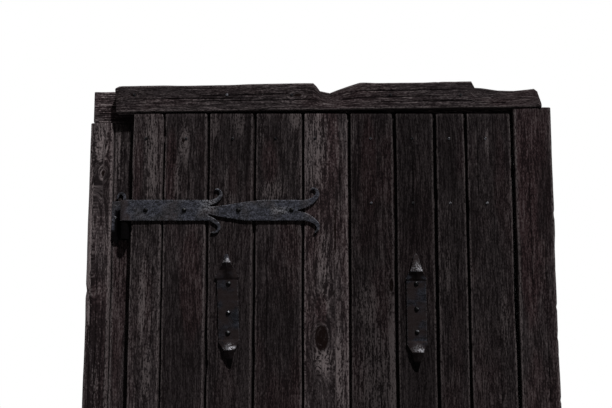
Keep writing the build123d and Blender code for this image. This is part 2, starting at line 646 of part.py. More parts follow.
def bevelled(timber):
    """A post with its four long edges taken off."""
    long_edges = [edge for edge in timber.edges().filter_by(Axis.Z) if edge.length > HEADER_FOOT - PAST]
    return chamfer(long_edges, POST_BEVEL)


def jamb_left():
    timber = block((-FRAME_HALF, JAMB_LEFT_INNER), (FACE + JAMB_LEFT_SETBACK, BACK), (0, HEADER_FOOT))
    return bevelled(timber) - nail_holes("left")


def jamb_right():
    """The right post: it is halved for the header, and its front goes on up to carry the lintel."""
    inner, outer = JAMB_RIGHT_INNER, FRAME_HALF
    tongue = [(inner, 0), (outer, 0), (outer, lintel_foot(outer)), (inner, lintel_foot(inner))]
    timber = slab(make_face(Polyline(*tongue, close=True)), FACE + JAMB_RIGHT_SETBACK, STOP_FACE)
    timber += block((inner, outer), (STOP_FACE, BACK), (0, HEADER_FOOT))
    return bevelled(timber) - block(*mortise()) - nail_holes("right")


def stop_left():
    """The board inside the left jamb that the leaf closes against, and that carries the pintles."""
    back = STOP_FACE + STOP_LEFT_THICK
    timber = bevelled(block((JAMB_LEFT_INNER, STOP_LEFT_INNER), (STOP_FACE, back), (0, HEADER_FOOT)))
    for z in (UPPER_STRAP_Z, LOWER_STRAP_Z):
        timber = drill(timber, pintle_nails(z), NAIL_SHANK, STOP_FACE - PAST, STOP_FACE + FRAME_NAIL_BITE)
    return timber - nail_holes("left")


def stop_right():
    """The strip inside the right jamb that the leaf closes against."""
    back = STOP_FACE + STOP_RIGHT_THICK
    timber = bevelled(block((STOP_RIGHT_INNER, JAMB_RIGHT_INNER), (STOP_FACE, back), (0, HEADER_FOOT)))
    return timber - nail_holes("right")


def stop_nail_heights():
    """Evenly spaced places up a stop, from near its foot to near its top."""
    low, high = STOP_NAIL_RISE, HEADER_FOOT - STOP_NAIL_DROP
    return [low + (high - low) * number / (STOP_NAIL_COUNT - 1) for number in range(STOP_NAIL_COUNT)]


def stop_nails(side, clear=0.0):
    """The nails that hold a stop to its jamb, or their holes where a clearance is given."""
    if side == "left":
        seat, joint, toward, depth = STOP_LEFT_INNER, JAMB_LEFT_INNER, -1, STOP_FACE + STOP_LEFT_THICK / 2
    else:
        seat, joint, toward, depth = STOP_RIGHT_INNER, JAMB_RIGHT_INNER, 1, STOP_FACE + STOP_RIGHT_THICK / 2
    tip = joint + toward * FRAME_NAIL_BITE
    base, crown, height = NAIL_HEAD
    nails = []
    for z in stop_nail_heights():
        shank = Pos((seat + tip) / 2, depth, z) * Rot(0, 90, 0) * Cylinder(NAIL_SHANK + clear, abs(tip - seat))
        head = Pos(seat - toward * height / 2, depth, z) * Rot(0, -90 * toward, 0) * Cone(base, crown, height)
        nails.append(shank if clear else shank + head)
    return nails


def nail_holes(side):
    return Compound(children=stop_nails(side, HOLE_CLEAR))


# All pieces


def pieces():
    """Each node's name and its solid or solids."""
    parts = {f"plank_{number + 1}": plank(number) for number in range(len(PLANKS))}
    for place in LEDGES:
        parts[f"ledge_{place}"] = ledge(place)
    for level, z in (("upper", UPPER_STRAP_Z), ("lower", LOWER_STRAP_Z)):
        parts[f"strap_{level}"] = strap(z)
        parts[f"strap_rivets_{level}"] = [rivet(x, h, FACE - STRAP_THICK, leaf_back(x, h))
                                          for x, h in strap_rivets(z)]
        parts[f"pintle_plate_{level}"] = pintle_plate(z)
        parts[f"pintle_pin_{level}"] = pintle_pin(z)
        parts[f"pintle_nails_{level}"] = [nail(x, h, STOP_FACE - PLATE_THICK, STOP_FACE + FRAME_NAIL_BITE)
                                          for x, h in pintle_nails(z)]
    parts["cleat_left"] = cleat(0)
    parts["cleat_right"] = cleat(1)
    parts["cleat_rivets"] = [rivet(x, z, FACE - CLEAT_BODY_THICK, leaf_back(x, z))
                             for x, z in cleat_rivets(0) + cleat_rivets(1)]
    parts["plank_nails"] = [nail(x, z, FACE, LEDGE_BACK - NAIL_BLIND) for x, z in plank_nails()]
    parts["pull_rose"] = pull_rose()
    parts["pull_eye"] = pull_eye()
    parts["pull_nut"] = pull_nut()
    parts["pull_ring"] = pull_ring()
    parts["bolt_plate"] = bolt_plate()
    for name, x in zip(("inner", "outer"), guide_centres()):
        parts[f"bolt_guide_{name}"] = bolt_guide(x)
    parts["bolt_nails"] = [guide_nail(x, z) for x, z in guide_nails()]
    parts["bolt_bar"] = bolt_bar()
    parts["bolt_keep"] = bolt_keep()
    parts["lintel"] = lintel()
    parts["lintel_nails"] = [nail(x, z, FACE - LINTEL_PROUD, STOP_FACE + FRAME_NAIL_BITE)
                             for x, z in lintel_nails()]
    parts["header"] = header()
    parts["jamb_left"] = jamb_left()
    parts["jamb_right"] = jamb_right()
    parts["stop_left"] = stop_left()
    parts["stop_right"] = stop_right()
    for side in ("left", "right"):
        parts[f"stop_nails_{side}"] = stop_nails(side)
    return parts


def main():
    os.makedirs("parts", exist_ok=True)
    for name, shape in pieces().items():
        solids = shape if isinstance(shape, list) else [shape]
        whole = Compound(children=[solid for each in solids for solid in each.solids()])
        export_step(whole if len(whole.solids()) > 1 else whole.solids()[0], f"parts/{name}.step")


main()
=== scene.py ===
import json
import math

import bmesh
import bpy
import numpy as np
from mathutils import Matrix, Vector
from mathutils.kdtree import KDTree


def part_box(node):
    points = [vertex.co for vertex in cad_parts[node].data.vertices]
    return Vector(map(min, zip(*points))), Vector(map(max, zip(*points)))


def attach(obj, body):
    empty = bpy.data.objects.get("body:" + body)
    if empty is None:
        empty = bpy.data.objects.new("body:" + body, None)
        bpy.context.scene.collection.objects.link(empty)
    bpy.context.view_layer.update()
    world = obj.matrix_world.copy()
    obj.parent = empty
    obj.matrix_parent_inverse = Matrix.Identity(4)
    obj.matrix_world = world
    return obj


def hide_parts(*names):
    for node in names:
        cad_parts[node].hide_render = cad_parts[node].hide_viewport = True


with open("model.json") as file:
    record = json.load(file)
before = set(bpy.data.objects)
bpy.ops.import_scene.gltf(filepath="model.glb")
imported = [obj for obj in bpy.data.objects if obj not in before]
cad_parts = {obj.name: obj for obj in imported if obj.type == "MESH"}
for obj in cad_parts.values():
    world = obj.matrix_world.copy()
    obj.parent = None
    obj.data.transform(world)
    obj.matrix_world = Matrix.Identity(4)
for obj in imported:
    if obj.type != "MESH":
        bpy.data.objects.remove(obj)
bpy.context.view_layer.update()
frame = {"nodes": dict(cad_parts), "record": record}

# The plank door's finish: weathered boards and frame timbers, forged ironwork, light and camera. Metres.
MM = 0.001

# Places read from the frame
LEAF_LOW, LEAF_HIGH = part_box("plank_1")
FACE = LEAF_LOW.y
LEAF_TOP = LEAF_HIGH.z
PLANK_BACK = LEAF_HIGH.y
HEADER_LOW, HEADER_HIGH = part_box("header")
LINTEL_LOW, LINTEL_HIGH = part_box("lintel")

# Camera: its lens and picture width in mm, how far it is from the frame's middle, in front of the boards
# and below the leaf's top, and its tilt in degrees
LENS = 50
SENSOR = 36
CAMERA_X = -29.5 * MM
CAMERA_AWAY = 1771.3 * MM
CAMERA_DROP = 414.7 * MM
CAMERA_TILT = 7.1

# Light: where each lamp stands seen from the door, its strength and its width in degrees, and then the
# light all round, the floor's size, and the floor's grey as the camera sees it and as it lights the door
KEY_WAY = (0.55, -1.0, 1.45)
KEY_STRENGTH = 5.3
KEY_WIDTH = 4
BACK_WAY = (-0.7, 1.0, 0.6)
BACK_STRENGTH = 2.0
BACK_WIDTH = 50
FILL = 0.05
FLOOR_SIZE = 12
FLOOR_GREY = 0.6
BOUNCE_GREY = 0.15

# Gaps between the fronts of the boards in mm, the half lap behind them, the rounding of worn edges, the
# spacing of the points on a timber, and the wear of its ends
GAPS = (3.0, 5.0, 5.0, 3.0, 4.0, 5.0, 5.0, 3.5)
LAP = 10 * MM
LAP_CLEAR = 0.3 * MM
BOARD_ARRIS = 3.5 * MM
POST_ARRIS = 5 * MM
LEDGE_ARRIS = 4 * MM
ARC_STEPS = 4
FINE = 2.4 * MM
MIDDLING = 5 * MM
COARSE = 14 * MM
STATION = 7 * MM
END_WEAR = 1.5 * MM

# Weathering of the wood, as depths below the sawn face and sizes across and along the grain. WAVER is how
# far the grain itself wanders
WAVE = (0.7 * MM, 55 * MM, 320 * MM)
RIDGE = (0.35 * MM, 5.5 * MM, 120 * MM)
FIBRE = (0.3 * MM, 2.6 * MM, 25 * MM)
WAVER = (7 * MM, 45 * MM, 130 * MM)
ARRIS_WEAR = (1.5 * MM, 90 * MM, 70 * MM)
CHIP = (2.2 * MM, 25 * MM, 16 * MM)
KNOT_PITS = (1.2 * MM, 4 * MM, 6 * MM)

# The depth of the fibres' fine relief, and how far apart in the wood's pattern two timbers are cut for
# each step of their seeds, in metres
WOOD_RELIEF = 1.8 * MM
CUT_APART = 0.37

# Cracks: how far they wander aside and how soon, over what length their width changes, how deep they are,
# and the half width at their ends
CRACK_WANDER = (0.9 * MM, 110 * MM)
CRACK_UNEVEN = 30 * MM
CRACK_DEPTH = 4 * MM
CRACK_LEAST = 0.15 * MM

# Forging: how fine the skin of a strap, a cleat and a smaller piece is, how deep their dents are, the
# size of the hammer's blows across, through and up, and the rounds that smooth an edge. Then how far an
# edge stands out where it starts to be rubbed and where it is bright, and the depth of the fine relief
STRAP_SKIN = 1.1 * MM
CLEAT_SKIN = 0.9 * MM
FINE_SKIN = 0.7 * MM
STRAP_DENTS = 0.35 * MM
FINE_DENTS = 0.25 * MM
BLOW = (9 * MM, 7 * MM, 8 * MM)
BLOW_SEED = 7
SMOOTHING = 5
RUBBED_EDGE = (0.06, 0.34)
IRON_RELIEF = 0.7 * MM

# Heads and shanks of the fasteners: radius at the base, height, shank radius, tail radius and height.
# Then how far apart they are at least, the sides of a head, how far its corners stray in radians, the
# least share of its radius that they reach, and how grimy most heads are. A rivet has a painted highlight
# where it faces a way, from and to these cosines
RIVET = (5.5 * MM, 4.0 * MM, 3.0 * MM, 5.0 * MM, 2.0 * MM)
NAIL = (3.2 * MM, 1.6 * MM, 1.5 * MM, 0.0, 0.0)
GUIDE_NAIL = (3.2 * MM, 1.6 * MM, 2.0 * MM, 0.0, 0.0)
APART = 13 * MM
HEAD_SIDES = 7
HEAD_STRAY = 0.12
HEAD_LEAST = 0.88
HEAD_GRIME = 0.75
PAINTED_GLINT_WAY = (0.42, -0.62, 0.66)
PAINTED_GLINT_FACING = (0.72, 0.95)

# The boards whose nails are rubbed bright, and the stretch of the lintel where its bright nail is
BRIGHT_NAIL_BOARDS = (6, 8, 9)
BRIGHT_LINTEL_NAIL = (-250 * MM, -150 * MM)

# Marks on the strap, in mm. Its first tails and its second part have a painted highlight at these places
# from its left end. The pairs say where such a mark ends and where it is full, along from its place and up
# from the strap's middle line, and so does the last for the rust round the eye
FIRST_TAIL = 186
TAIL_ALONG = (26, 4)
TAIL_LEVEL = (-12, 6)
SECOND_PART = 338
SECOND_ALONG = (26, 6)
SECOND_LEVEL = (10, 3)
STRAP_HIGHLIGHT = 0.4
EYE_RUST = (34, 10)

# The painted shadow of the strap on the pintle's plate, in mm, as pairs of where it starts and where it is
# full: right of the lit strip at its left, below its unshaded top, and at its foot
PLATE_LIT_STRIP = (4, 8)
PLATE_UNSHADED_TOP = (36, 41)
PLATE_SHADED_FOOT = (78, 86)

# A cleat's leaves: how far they fall back from their ridge, and the height of the slices that find its
# line. Then pairs of where a thing starts and where it is full: the fall, the rust and the painted
# highlight out from the boards, and the tip's painted black shade up from its foot
CLEAT_FALL = 0.32
CLEAT_SLICE = 4 * MM
CLEAT_LEAF = (4.6 * MM, 12 * MM)
CLEAT_RUSTY = (1 * MM, 4 * MM)
CLEAT_HIGHLIGHT = (6 * MM, 11 * MM)
CLEAT_SHADED_TIP = (26 * MM, 14 * MM)


# Small mathematics


def noise(across, along, seed):
    """Smooth noise from 0 to 1, with one cell to each whole number of either coordinate."""
    table = np.random.default_rng(seed).random((64, 64))
    i, j = np.floor(across).astype(int), np.floor(along).astype(int)
    f, g = across - i, along - j
    f, g = f * f * (3 - 2 * f), g * g * (3 - 2 * g)
    low = table[i % 64, j % 64] * (1 - f) + table[(i + 1) % 64, j % 64] * f
    high = table[i % 64, (j + 1) % 64] * (1 - f) + table[(i + 1) % 64, (j + 1) % 64] * f
    return low * (1 - g) + high * g


def smooth(value, low, high):
    """0 at low and before it, 1 at high and past it, and an even curve between. Low may be the larger."""
    t = np.clip((value - low) / (high - low), 0, 1)
    return t * t * (3 - 2 * t)


def grown(pattern, across, along, seed):
    """Noise of a pattern's depth and sizes over places on a timber."""
    depth, wide, long = pattern
    return depth * noise(across / wide, along / long, seed)


# Sections of the timbers: points as (across, depth), with the front first and then on round


def rounded(corners, radii):
    """A closed section with its corners rounded, and a flag on the points of each rounding."""
    points, worn = [], []
    for number, (corner, radius) in enumerate(zip(corners, radii)):
        corner = np.array(corner, float)
        if radius == 0:
            points.append(corner)
            worn.append(0.0)
            continue
        before = np.array(corners[number - 1], float) - corner
        after = np.array(corners[(number + 1) % len(corners)], float) - corner
        start = corner + before / np.linalg.norm(before) * radius
        end = corner + after / np.linalg.norm(after) * radius
        for step in range(ARC_STEPS + 1):
            t = step / ARC_STEPS
            points.append(start * (1 - t) ** 2 + corner * 2 * t * (1 - t) + end * t ** 2)
            worn.append(1.0)
    return np.array(points), np.array(worn)


def divided(points, worn, spacings):
    """The section with points added, at most a spacing apart: on its front, its sides and its back."""
    found, flags = [], []
    for number, point in enumerate(points):
        run = points[(number + 1) % len(points)] - point
        if abs(run[1]) > abs(run[0]):
            spacing = spacings[1]
        else:
            spacing = spacings[0] if run[0] > 0 else spacings[2]
        steps = max(1, math.ceil(np.linalg.norm(run) / spacing - 0.001))
        for step in range(steps):
            found.append(point + run * step / steps)
            flags.append(worn[number] if step == 0 else 0.0)
    return np.array(found), np.array(flags)


def inward(points):
    """Directions into the wood at the points of a section."""
    run = np.roll(points, -1, axis=0) - points
    run = run / np.linalg.norm(run, axis=1)[:, None]
    normal = np.stack([-run[:, 1], run[:, 0]], axis=1)
    normal = normal + np.roll(normal, 1, axis=0)
    return normal / np.linalg.norm(normal, axis=1)[:, None]


def block_section(low, high, front, back):
    """The corners of a plain section, front first."""
    return [(low, front), (high, front), (high, back), (low, back)]


# Timbers


def station_places(low, high):
    """Places along a timber: its two ends, and evenly between its end bevels."""
    steps = round((high - low) / STATION)
    return np.concatenate([[low], np.linspace(low + END_WEAR, high - END_WEAR, steps), [high]])


def figured(across, along, knots, flames):
    """Places across the grain, arched in flames and drawn round knots, and how far each one is knot."""
    heart = np.zeros_like(across)
    bent = across.copy()
    for middle, level, wide, tall, slope in flames:
        share = np.exp(-((across - middle) / wide) ** 4 - ((along - level) / tall) ** 4)
        arched = middle + abs(across - middle) + slope * (along - level)
        bent = bent * (1 - share) + arched * share
    for middle, level, wide, tall, reach in knots:
        out = np.hypot((across - middle) / wide, (along - level) / tall)
        share = np.exp(-(out / reach) ** 2)
        side = np.where(across < middle, -1.0, 1.0)
        bent = bent * (1 - share) + (middle + side * wide * out) * share
        heart = np.maximum(heart, smooth(1.25 - out, 0.0, 0.5))
    return bent, heart


def stained_and_shaded(across, along, stains_and_shadows):
    """How bleached, ruddy and dark each place is, from soft long patches of weather and of painted shadow.
    """
    found = np.zeros((3,) + across.shape)
    for kind, middle, level, wide, tall, strength in stains_and_shadows:
        out = np.hypot((across - middle) / wide, (along - level) / tall)
        found[kind] = np.maximum(found[kind], strength * smooth(1.35 - out, 0.0, 0.9))
    return found


def opened(grid, depth, front, cracks, seed):
    """Sinks a row of points along each crack, and returns how dirty each place is."""
    across, along = grid
    dirt = np.zeros_like(across)
    for number, (place, low, high, width) in enumerate(cracks):
        nearest = front[np.argmin(np.abs(across[1, front] - place))]
        share = np.clip((along[:, 0] - low) / (high - low), 0, 1)
        taper = np.sin(math.pi * share) ** 0.5
        taper = taper * (0.55 + 0.45 * noise(share * 0, along[:, 0] / CRACK_UNEVEN, seed + number))
        shift = noise(share * 0, along[:, 0] / CRACK_WANDER[1], seed + 50 + number) * 2 - 1
        shift = shift * CRACK_WANDER[0]
        follow = np.clip(taper * 4, 0, 1)
        for step in (-1, 0, 1):
            path = across[1, nearest] + shift + step * (width / 2 * taper + CRACK_LEAST)
            across[:, nearest + step] = across[:, nearest + step] * (1 - follow) + path * follow
        depth[:, nearest] += CRACK_DEPTH * taper
        dirt[:, nearest] = np.maximum(dirt[:, nearest], taper)
    return dirt


def weathered(around, places, worn, seed):
    """How deep the weather has gone at each place, and where a worn arris is chipped."""
    depth = grown(WAVE, around, places, seed)
    depth += grown(RIDGE, around, places, seed + 1) + grown(FIBRE, around, places, seed + 2)
    eaten = noise(around / ARRIS_WEAR[1], places / ARRIS_WEAR[2], seed + 3)
    depth += worn * ARRIS_WEAR[0] * smooth(eaten, 0.3, 0.9)
    chips = smooth(noise(around / CHIP[1], places / CHIP[2], seed + 4), 0.8, 0.97)
    depth += worn * CHIP[0] * chips
    return depth, chips


def timber(name, corners, radii, ends, seed, upright=True, spacings=(FINE, COARSE, COARSE), knots=(),
           cracks=(), stains_and_shadows=(), flames=(), shaped=None):
    """A board or post: its section run along its length and weathered. It keeps what its finish reads."""
    section, worn = divided(*rounded(corners, radii), spacings)
    along = station_places(*ends)
    normal = inward(section)
    steps = np.linalg.norm(np.diff(section, axis=0), axis=1)
    around = section[0, 0] + np.concatenate([[0], np.cumsum(steps)])
    rows, columns = len(along), len(section)
    across, depths, around = (np.tile(line, (rows, 1)) for line in (section[:, 0], section[:, 1], around))
    places = np.tile(along[:, None], (1, columns))
    worn = np.tile(worn, (rows, 1))
    front = np.flatnonzero(normal[:, 1] > 0.99)
    depth, chips = weathered(around, places, worn, seed)
    dirt = opened((across, places), depth, front, cracks, seed + 100)
    bent, heart = figured(across, places, knots, flames)
    # The dark share of these patches also holds painted shadows
    weather = stained_and_shaded(across, places, stains_and_shadows) * (normal[:, 1] > 0.3)
    on_front = np.zeros(columns)
    on_front[front] = 1
    bent = around + (bent - across) * on_front + grown(WAVER, around, places, seed + 6)
    heart = heart * on_front
    depth += heart * grown(KNOT_PITS, across, places, seed + 5)
    depth[[0, -1]] += END_WEAR
    grid = [across + normal[:, 0] * depth, depths + normal[:, 1] * depth, places]
    if shaped:
        grid = shaped(*grid)
    points = np.stack(grid if upright else grid[::-1], axis=2).reshape(-1, 3)
    piece = swept(name, points, rows, columns, upright)
    grain = np.stack([bent, np.full_like(bent, seed * CUT_APART), places], axis=2)
    marks = np.stack([dirt, worn * (0.4 + 0.6 * (1 - chips)), heart], axis=2)
    keep(piece, "grain", grain)
    keep(piece, "marks", marks)
    keep(piece, "weather", weather.transpose(1, 2, 0))
    return piece


def swept(name, points, rows, columns, upright):
    """A mesh over rows of points, closed at both ends."""
    row, column = np.meshgrid(np.arange(rows - 1), np.arange(columns), indexing="ij")
    after = (column + 1) % columns
    here, above = row * columns, (row + 1) * columns
    corners = [here + column, here + after, above + after, above + column]
    faces = np.stack(corners, axis=2).reshape(-1, 4).tolist()
    ring = list(range(columns))
    caps = [ring[::-1], [(rows - 1) * columns + number for number in ring]]
    if not upright:
        faces = [face[::-1] for face in faces]
        caps = [cap[::-1] for cap in caps]
    mesh = bpy.data.meshes.new(name)
    mesh.from_pydata(points.tolist(), [], faces + caps)
    mesh.shade_smooth()
    for cap in mesh.polygons[-2:]:
        cap.use_smooth = False
    return placed(name, mesh)


def placed(name, mesh):
    """A piece with that mesh, in the scene."""
    piece = bpy.data.objects.new(name, mesh)
    bpy.context.collection.objects.link(piece)
    return piece


def keep(piece, name, values):
    """Stores three numbers at each point of a mesh, for its finish to read."""
    stored = piece.data.attributes.new(name, "FLOAT_VECTOR", "POINT")
    stored.data.foreach_set("vector", np.asarray(values, np.float32).ravel())


def dressed(piece, body, slot, finish, *nodes):
    """The piece takes the place of its nodes, on their body, with its finish."""
    piece.data.materials.clear()
    piece.data.materials.append(finish)
    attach(piece, body)
    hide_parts(*nodes)


# Finishes


class Value:
    """A number in a set of nodes. Sums, differences and products of these add their own nodes."""

    def __init__(self, nodes, socket):
        self.nodes = nodes
        self.socket = socket

    def __add__(self, other):
        return self.nodes.maths("ADD", self, other)

    def __sub__(self, other):
        return self.nodes.maths("SUBTRACT", self, other)

    def __rsub__(self, other):
        return self.nodes.maths("SUBTRACT", other, self)

    def __mul__(self, other):
        return self.nodes.maths("MULTIPLY", self, other)

    __radd__ = __add__
    __rmul__ = __mul__


class Nodes:
    """The nodes of a finish or of the light all round."""

    def __init__(self, tree):
        self.tree = tree

    def node(self, kind, settings=None, inputs=None, output=0):
        """A node of that type: its settings first, then the values or links of its sockets."""
        made = self.tree.nodes.new(kind)
        for name, value in (settings or {}).items():
            setattr(made, name, value)
        for name, value in (inputs or {}).items():
            self.feed(made.inputs[name], value)
        return made.outputs[output]

    def feed(self, socket, value):
        """Links a socket to a value, or sets it to a number or colour."""
        if isinstance(value, Value):
            value = value.socket
        if isinstance(value, bpy.types.NodeSocket):
            self.tree.links.new(value, socket)
        else:
            socket.default_value = value

    def maths(self, operation, first, second):
        """One sum, difference or product."""
        return Value(self, self.node("ShaderNodeMath", {"operation": operation}, {0: first, 1: second}))

    def all_of(self, socket):
        """Every output of the node that the socket belongs to."""
        return [Value(self, each) for each in socket.node.outputs]


class Finish(Nodes):
    """A material and the nodes that make it."""

    def __init__(self, name):
        self.material = bpy.data.materials.new(name)
        self.material.use_nodes = True
        super().__init__(self.material.node_tree)
        self.shader = self.tree.nodes["Principled BSDF"]

    def surface(self, **values):
        """Sets the shader's sockets, named with underscores for spaces."""
        for name, value in values.items():
            self.feed(self.shader.inputs[name.replace("_", " ")], value)
        return self.material

    def stored(self, name):
        """Three numbers that the mesh keeps at its points."""
        return self.node("ShaderNodeAttribute", {"attribute_name": name}, output="Vector")

    def place(self):
        """Where a point is on the piece at rest."""
        return self.node("ShaderNodeTexCoord", output="Object")

    def parts(self, vector):
        """The three numbers of a vector."""
        return self.all_of(self.node("ShaderNodeSeparateXYZ", inputs={"Vector": vector}))

    def noise(self, vector, stretch, detail, roughness=0.5):
        """Noise over a place, with that many cells to the metre each way."""
        scaled = self.node("ShaderNodeVectorMath", {"operation": "MULTIPLY"}, {0: vector, 1: stretch})
        return Value(self, self.node("ShaderNodeTexNoise", inputs={
            "Vector": scaled, "Scale": 1.0, "Detail": detail, "Roughness": roughness}))

    def rise(self, value, low, high):
        """0 below low, 1 above high, and an even curve between them."""
        return Value(self, self.node("ShaderNodeMapRange", {"interpolation_type": "SMOOTHSTEP"}, {
            "Value": value, "From Min": low, "From Max": high}))

    def mix(self, share, first, second, way="MIX"):
        """A colour between two others, or one multiplied into the other."""
        ends = [(*colour, 1.0) if isinstance(colour, tuple) else colour for colour in (first, second)]
        return self.node("ShaderNodeMix", {"data_type": "RGBA", "blend_type": way}, {
            0: share, 6: ends[0], 7: ends[1]}, 2)

    def bump(self, height, distance, strength):
        """A relief for the shader's normal, from a height."""
        return self.node("ShaderNodeBump", inputs={
            "Height": height, "Distance": distance, "Strength": strength})


# Colours of the wood, from its cracks to its bleached fibres, and then of its knots. The cracks' black
# also paints shade on the iron, and the furrows' dark also paints shadows on the wood
SOOT_AND_SHADE = (0.0009, 0.0007, 0.0007)
FURROW_AND_SHADE = (0.0042, 0.0030, 0.0032)
BOARD = (0.0204, 0.0164, 0.0170)
RED_BOARD = (0.0262, 0.0140, 0.0148)
SILVER = (0.092, 0.077, 0.077)
HEART = (0.0042, 0.0024, 0.0022)

# Cells of the wood's colour to the metre, across, through and along the grain
WEATHER_PATCH = (13, 3, 4.5)
GROWTH_BAND = (70, 5, 2.5)
GROWTH_RING = (320, 7, 24)
WOOD_FIBRE = (520, 9, 90)
WOOD_FLECK = (500, 30, 200)


def wood(name, light, silver, red):
    """Weathered softwood: bleached fibres and dark furrows, black cracks, dark knots and pale arrises.

    It is as light, as silvered and as ruddy as its three numbers say. Its dark patches are stains, in
    places painted shadows.
    """
    finish = Finish(name)
    grain = finish.stored("grain")
    dirt, worn, heart = finish.parts(finish.stored("marks"))
    pale, ruddy, dark = finish.parts(finish.stored("weather"))
    patch = finish.noise(grain, WEATHER_PATCH, 3.0)
    band = finish.noise(grain, GROWTH_BAND, 2.0)
    ring = finish.noise(grain, GROWTH_RING, 2.0, 0.6)
    fibre = finish.noise(grain, WOOD_FIBRE, 2.0, 0.6)
    fleck = finish.noise(grain, WOOD_FLECK, 2.0, 0.6)
    streak = ring * 0.34 + fibre * 0.28 + fleck * 0.30 + band * 0.08
    colour = finish.mix(finish.rise(patch + ruddy * 0.3, 0.44, 0.68) * red, BOARD, RED_BOARD)
    furrowed = finish.rise(1 - streak + dark * 0.03, 0.478, 0.55) * 0.85
    colour = finish.mix(furrowed, colour, FURROW_AND_SHADE)
    bleached = finish.rise(streak + patch * 0.13 + pale * 0.09 - dark * 0.06, 0.575, 0.685)
    colour = finish.mix(bleached * (silver + pale * 0.3), colour, SILVER)
    colour = finish.mix(worn * finish.rise(fleck + fibre, 0.8, 1.15) * 0.75, colour, SILVER)
    # Dark patches: stains, and in places painted shadows
    colour = finish.mix(dark * 0.55, colour, FURROW_AND_SHADE)
    rim = finish.rise(heart, 0.02, 0.3) - finish.rise(heart, 0.3, 0.7)
    colour = finish.mix(rim * finish.rise(fleck, 0.4, 0.6) * 0.3, colour, SILVER)
    colour = finish.mix(finish.rise(heart, 0.3, 0.9) * finish.rise(1.3 - fibre, 0.45, 0.75), colour, HEART)
    colour = finish.mix(finish.rise(dirt, 0.08, 0.5), colour, SOOT_AND_SHADE)
    shade = finish.mix(1.0, colour, (light,) * 3, "MULTIPLY")
    height = finish.bump(streak, WOOD_RELIEF, 1.0)
    return finish.surface(Base_Color=shade, Roughness=0.92 - streak * 0.25, Specular_IOR_Level=0.012,
                          Normal=height)


# Colours of the iron, from its scale to its wear and painted highlights, and then of its rust
SCALE_BLACK = (0.010, 0.010, 0.0112)
FORGE_GREY = (0.0225, 0.0232, 0.0300)
FORGE_WARM = (0.0240, 0.0232, 0.0262)
FORGE_PALE = (0.062, 0.063, 0.074)
SCUFF_AND_HIGHLIGHT = (0.30, 0.30, 0.32)
RUST = (0.0250, 0.0172, 0.0165)

# Cells of the iron's colour to the metre, each way
HAMMER_MOTTLE = (90, 90, 160)
RUST_PATCH = (24, 24, 24)
IRON_GRIT = (430, 430, 430)


def iron(name, light, rust, bright, metal=0.4, shine=0.015, rough=0.55):
    """Forged iron: blue-grey scale, brown rust in patches, black grime and painted shade, bright wear and
    painted highlights.

    It is as light, as rusty and as bright there as its first three numbers say.
    """
    finish = Finish(name)
    place = finish.place()
    # The marks hold grime and painted shade, wear and painted highlights, and rust
    grime, worn, ruddy = finish.parts(finish.stored("marks"))
    mottle = finish.noise(place, HAMMER_MOTTLE, 3.0, 0.6)
    patch = finish.noise(place, RUST_PATCH, 3.0)
    grit = finish.noise(place, IRON_GRIT, 2.0)
    tone = mottle * 0.45 + grit * 0.55
    scale = finish.mix(finish.rise(patch, 0.45, 0.6), FORGE_GREY, FORGE_WARM)
    colour = finish.mix(finish.rise(tone, 0.42, 0.52), SCALE_BLACK, scale)
    colour = finish.mix(finish.rise(tone, 0.52, 0.63) * 0.6, colour, FORGE_PALE)
    rusty = finish.rise(patch + grit * 0.2 + ruddy * 0.3, 0.66, 0.84) * rust
    colour = finish.mix(rusty, colour, RUST)
    colour = finish.mix(1.0, colour, (light,) * 3, "MULTIPLY")
    rubbed_and_highlit = worn * finish.rise(mottle * 0.6 + grit * 1.4, 0.88, 1.12) * bright
    colour = finish.mix(rubbed_and_highlit, colour, SCUFF_AND_HIGHLIGHT)
    colour = finish.mix(grime * 0.97, colour, SOOT_AND_SHADE)
    height = finish.bump(mottle * 0.8 + grit * 0.2, IRON_RELIEF, 0.7)
    metallic = (metal + rubbed_and_highlit * (0.9 - metal) - rusty * metal * 0.75) * (1 - grime)
    roughness = rough + rusty * 0.3 + grime * 0.4 - rubbed_and_highlit * 0.2
    return finish.surface(Base_Color=colour, Roughness=roughness, Metallic=metallic,
                          Specular_IOR_Level=shine, Normal=height)


# Door leaf

# Kinds of stain. The dark kind also carries painted shadows
PALE, RUDDY, DARK = range(3)
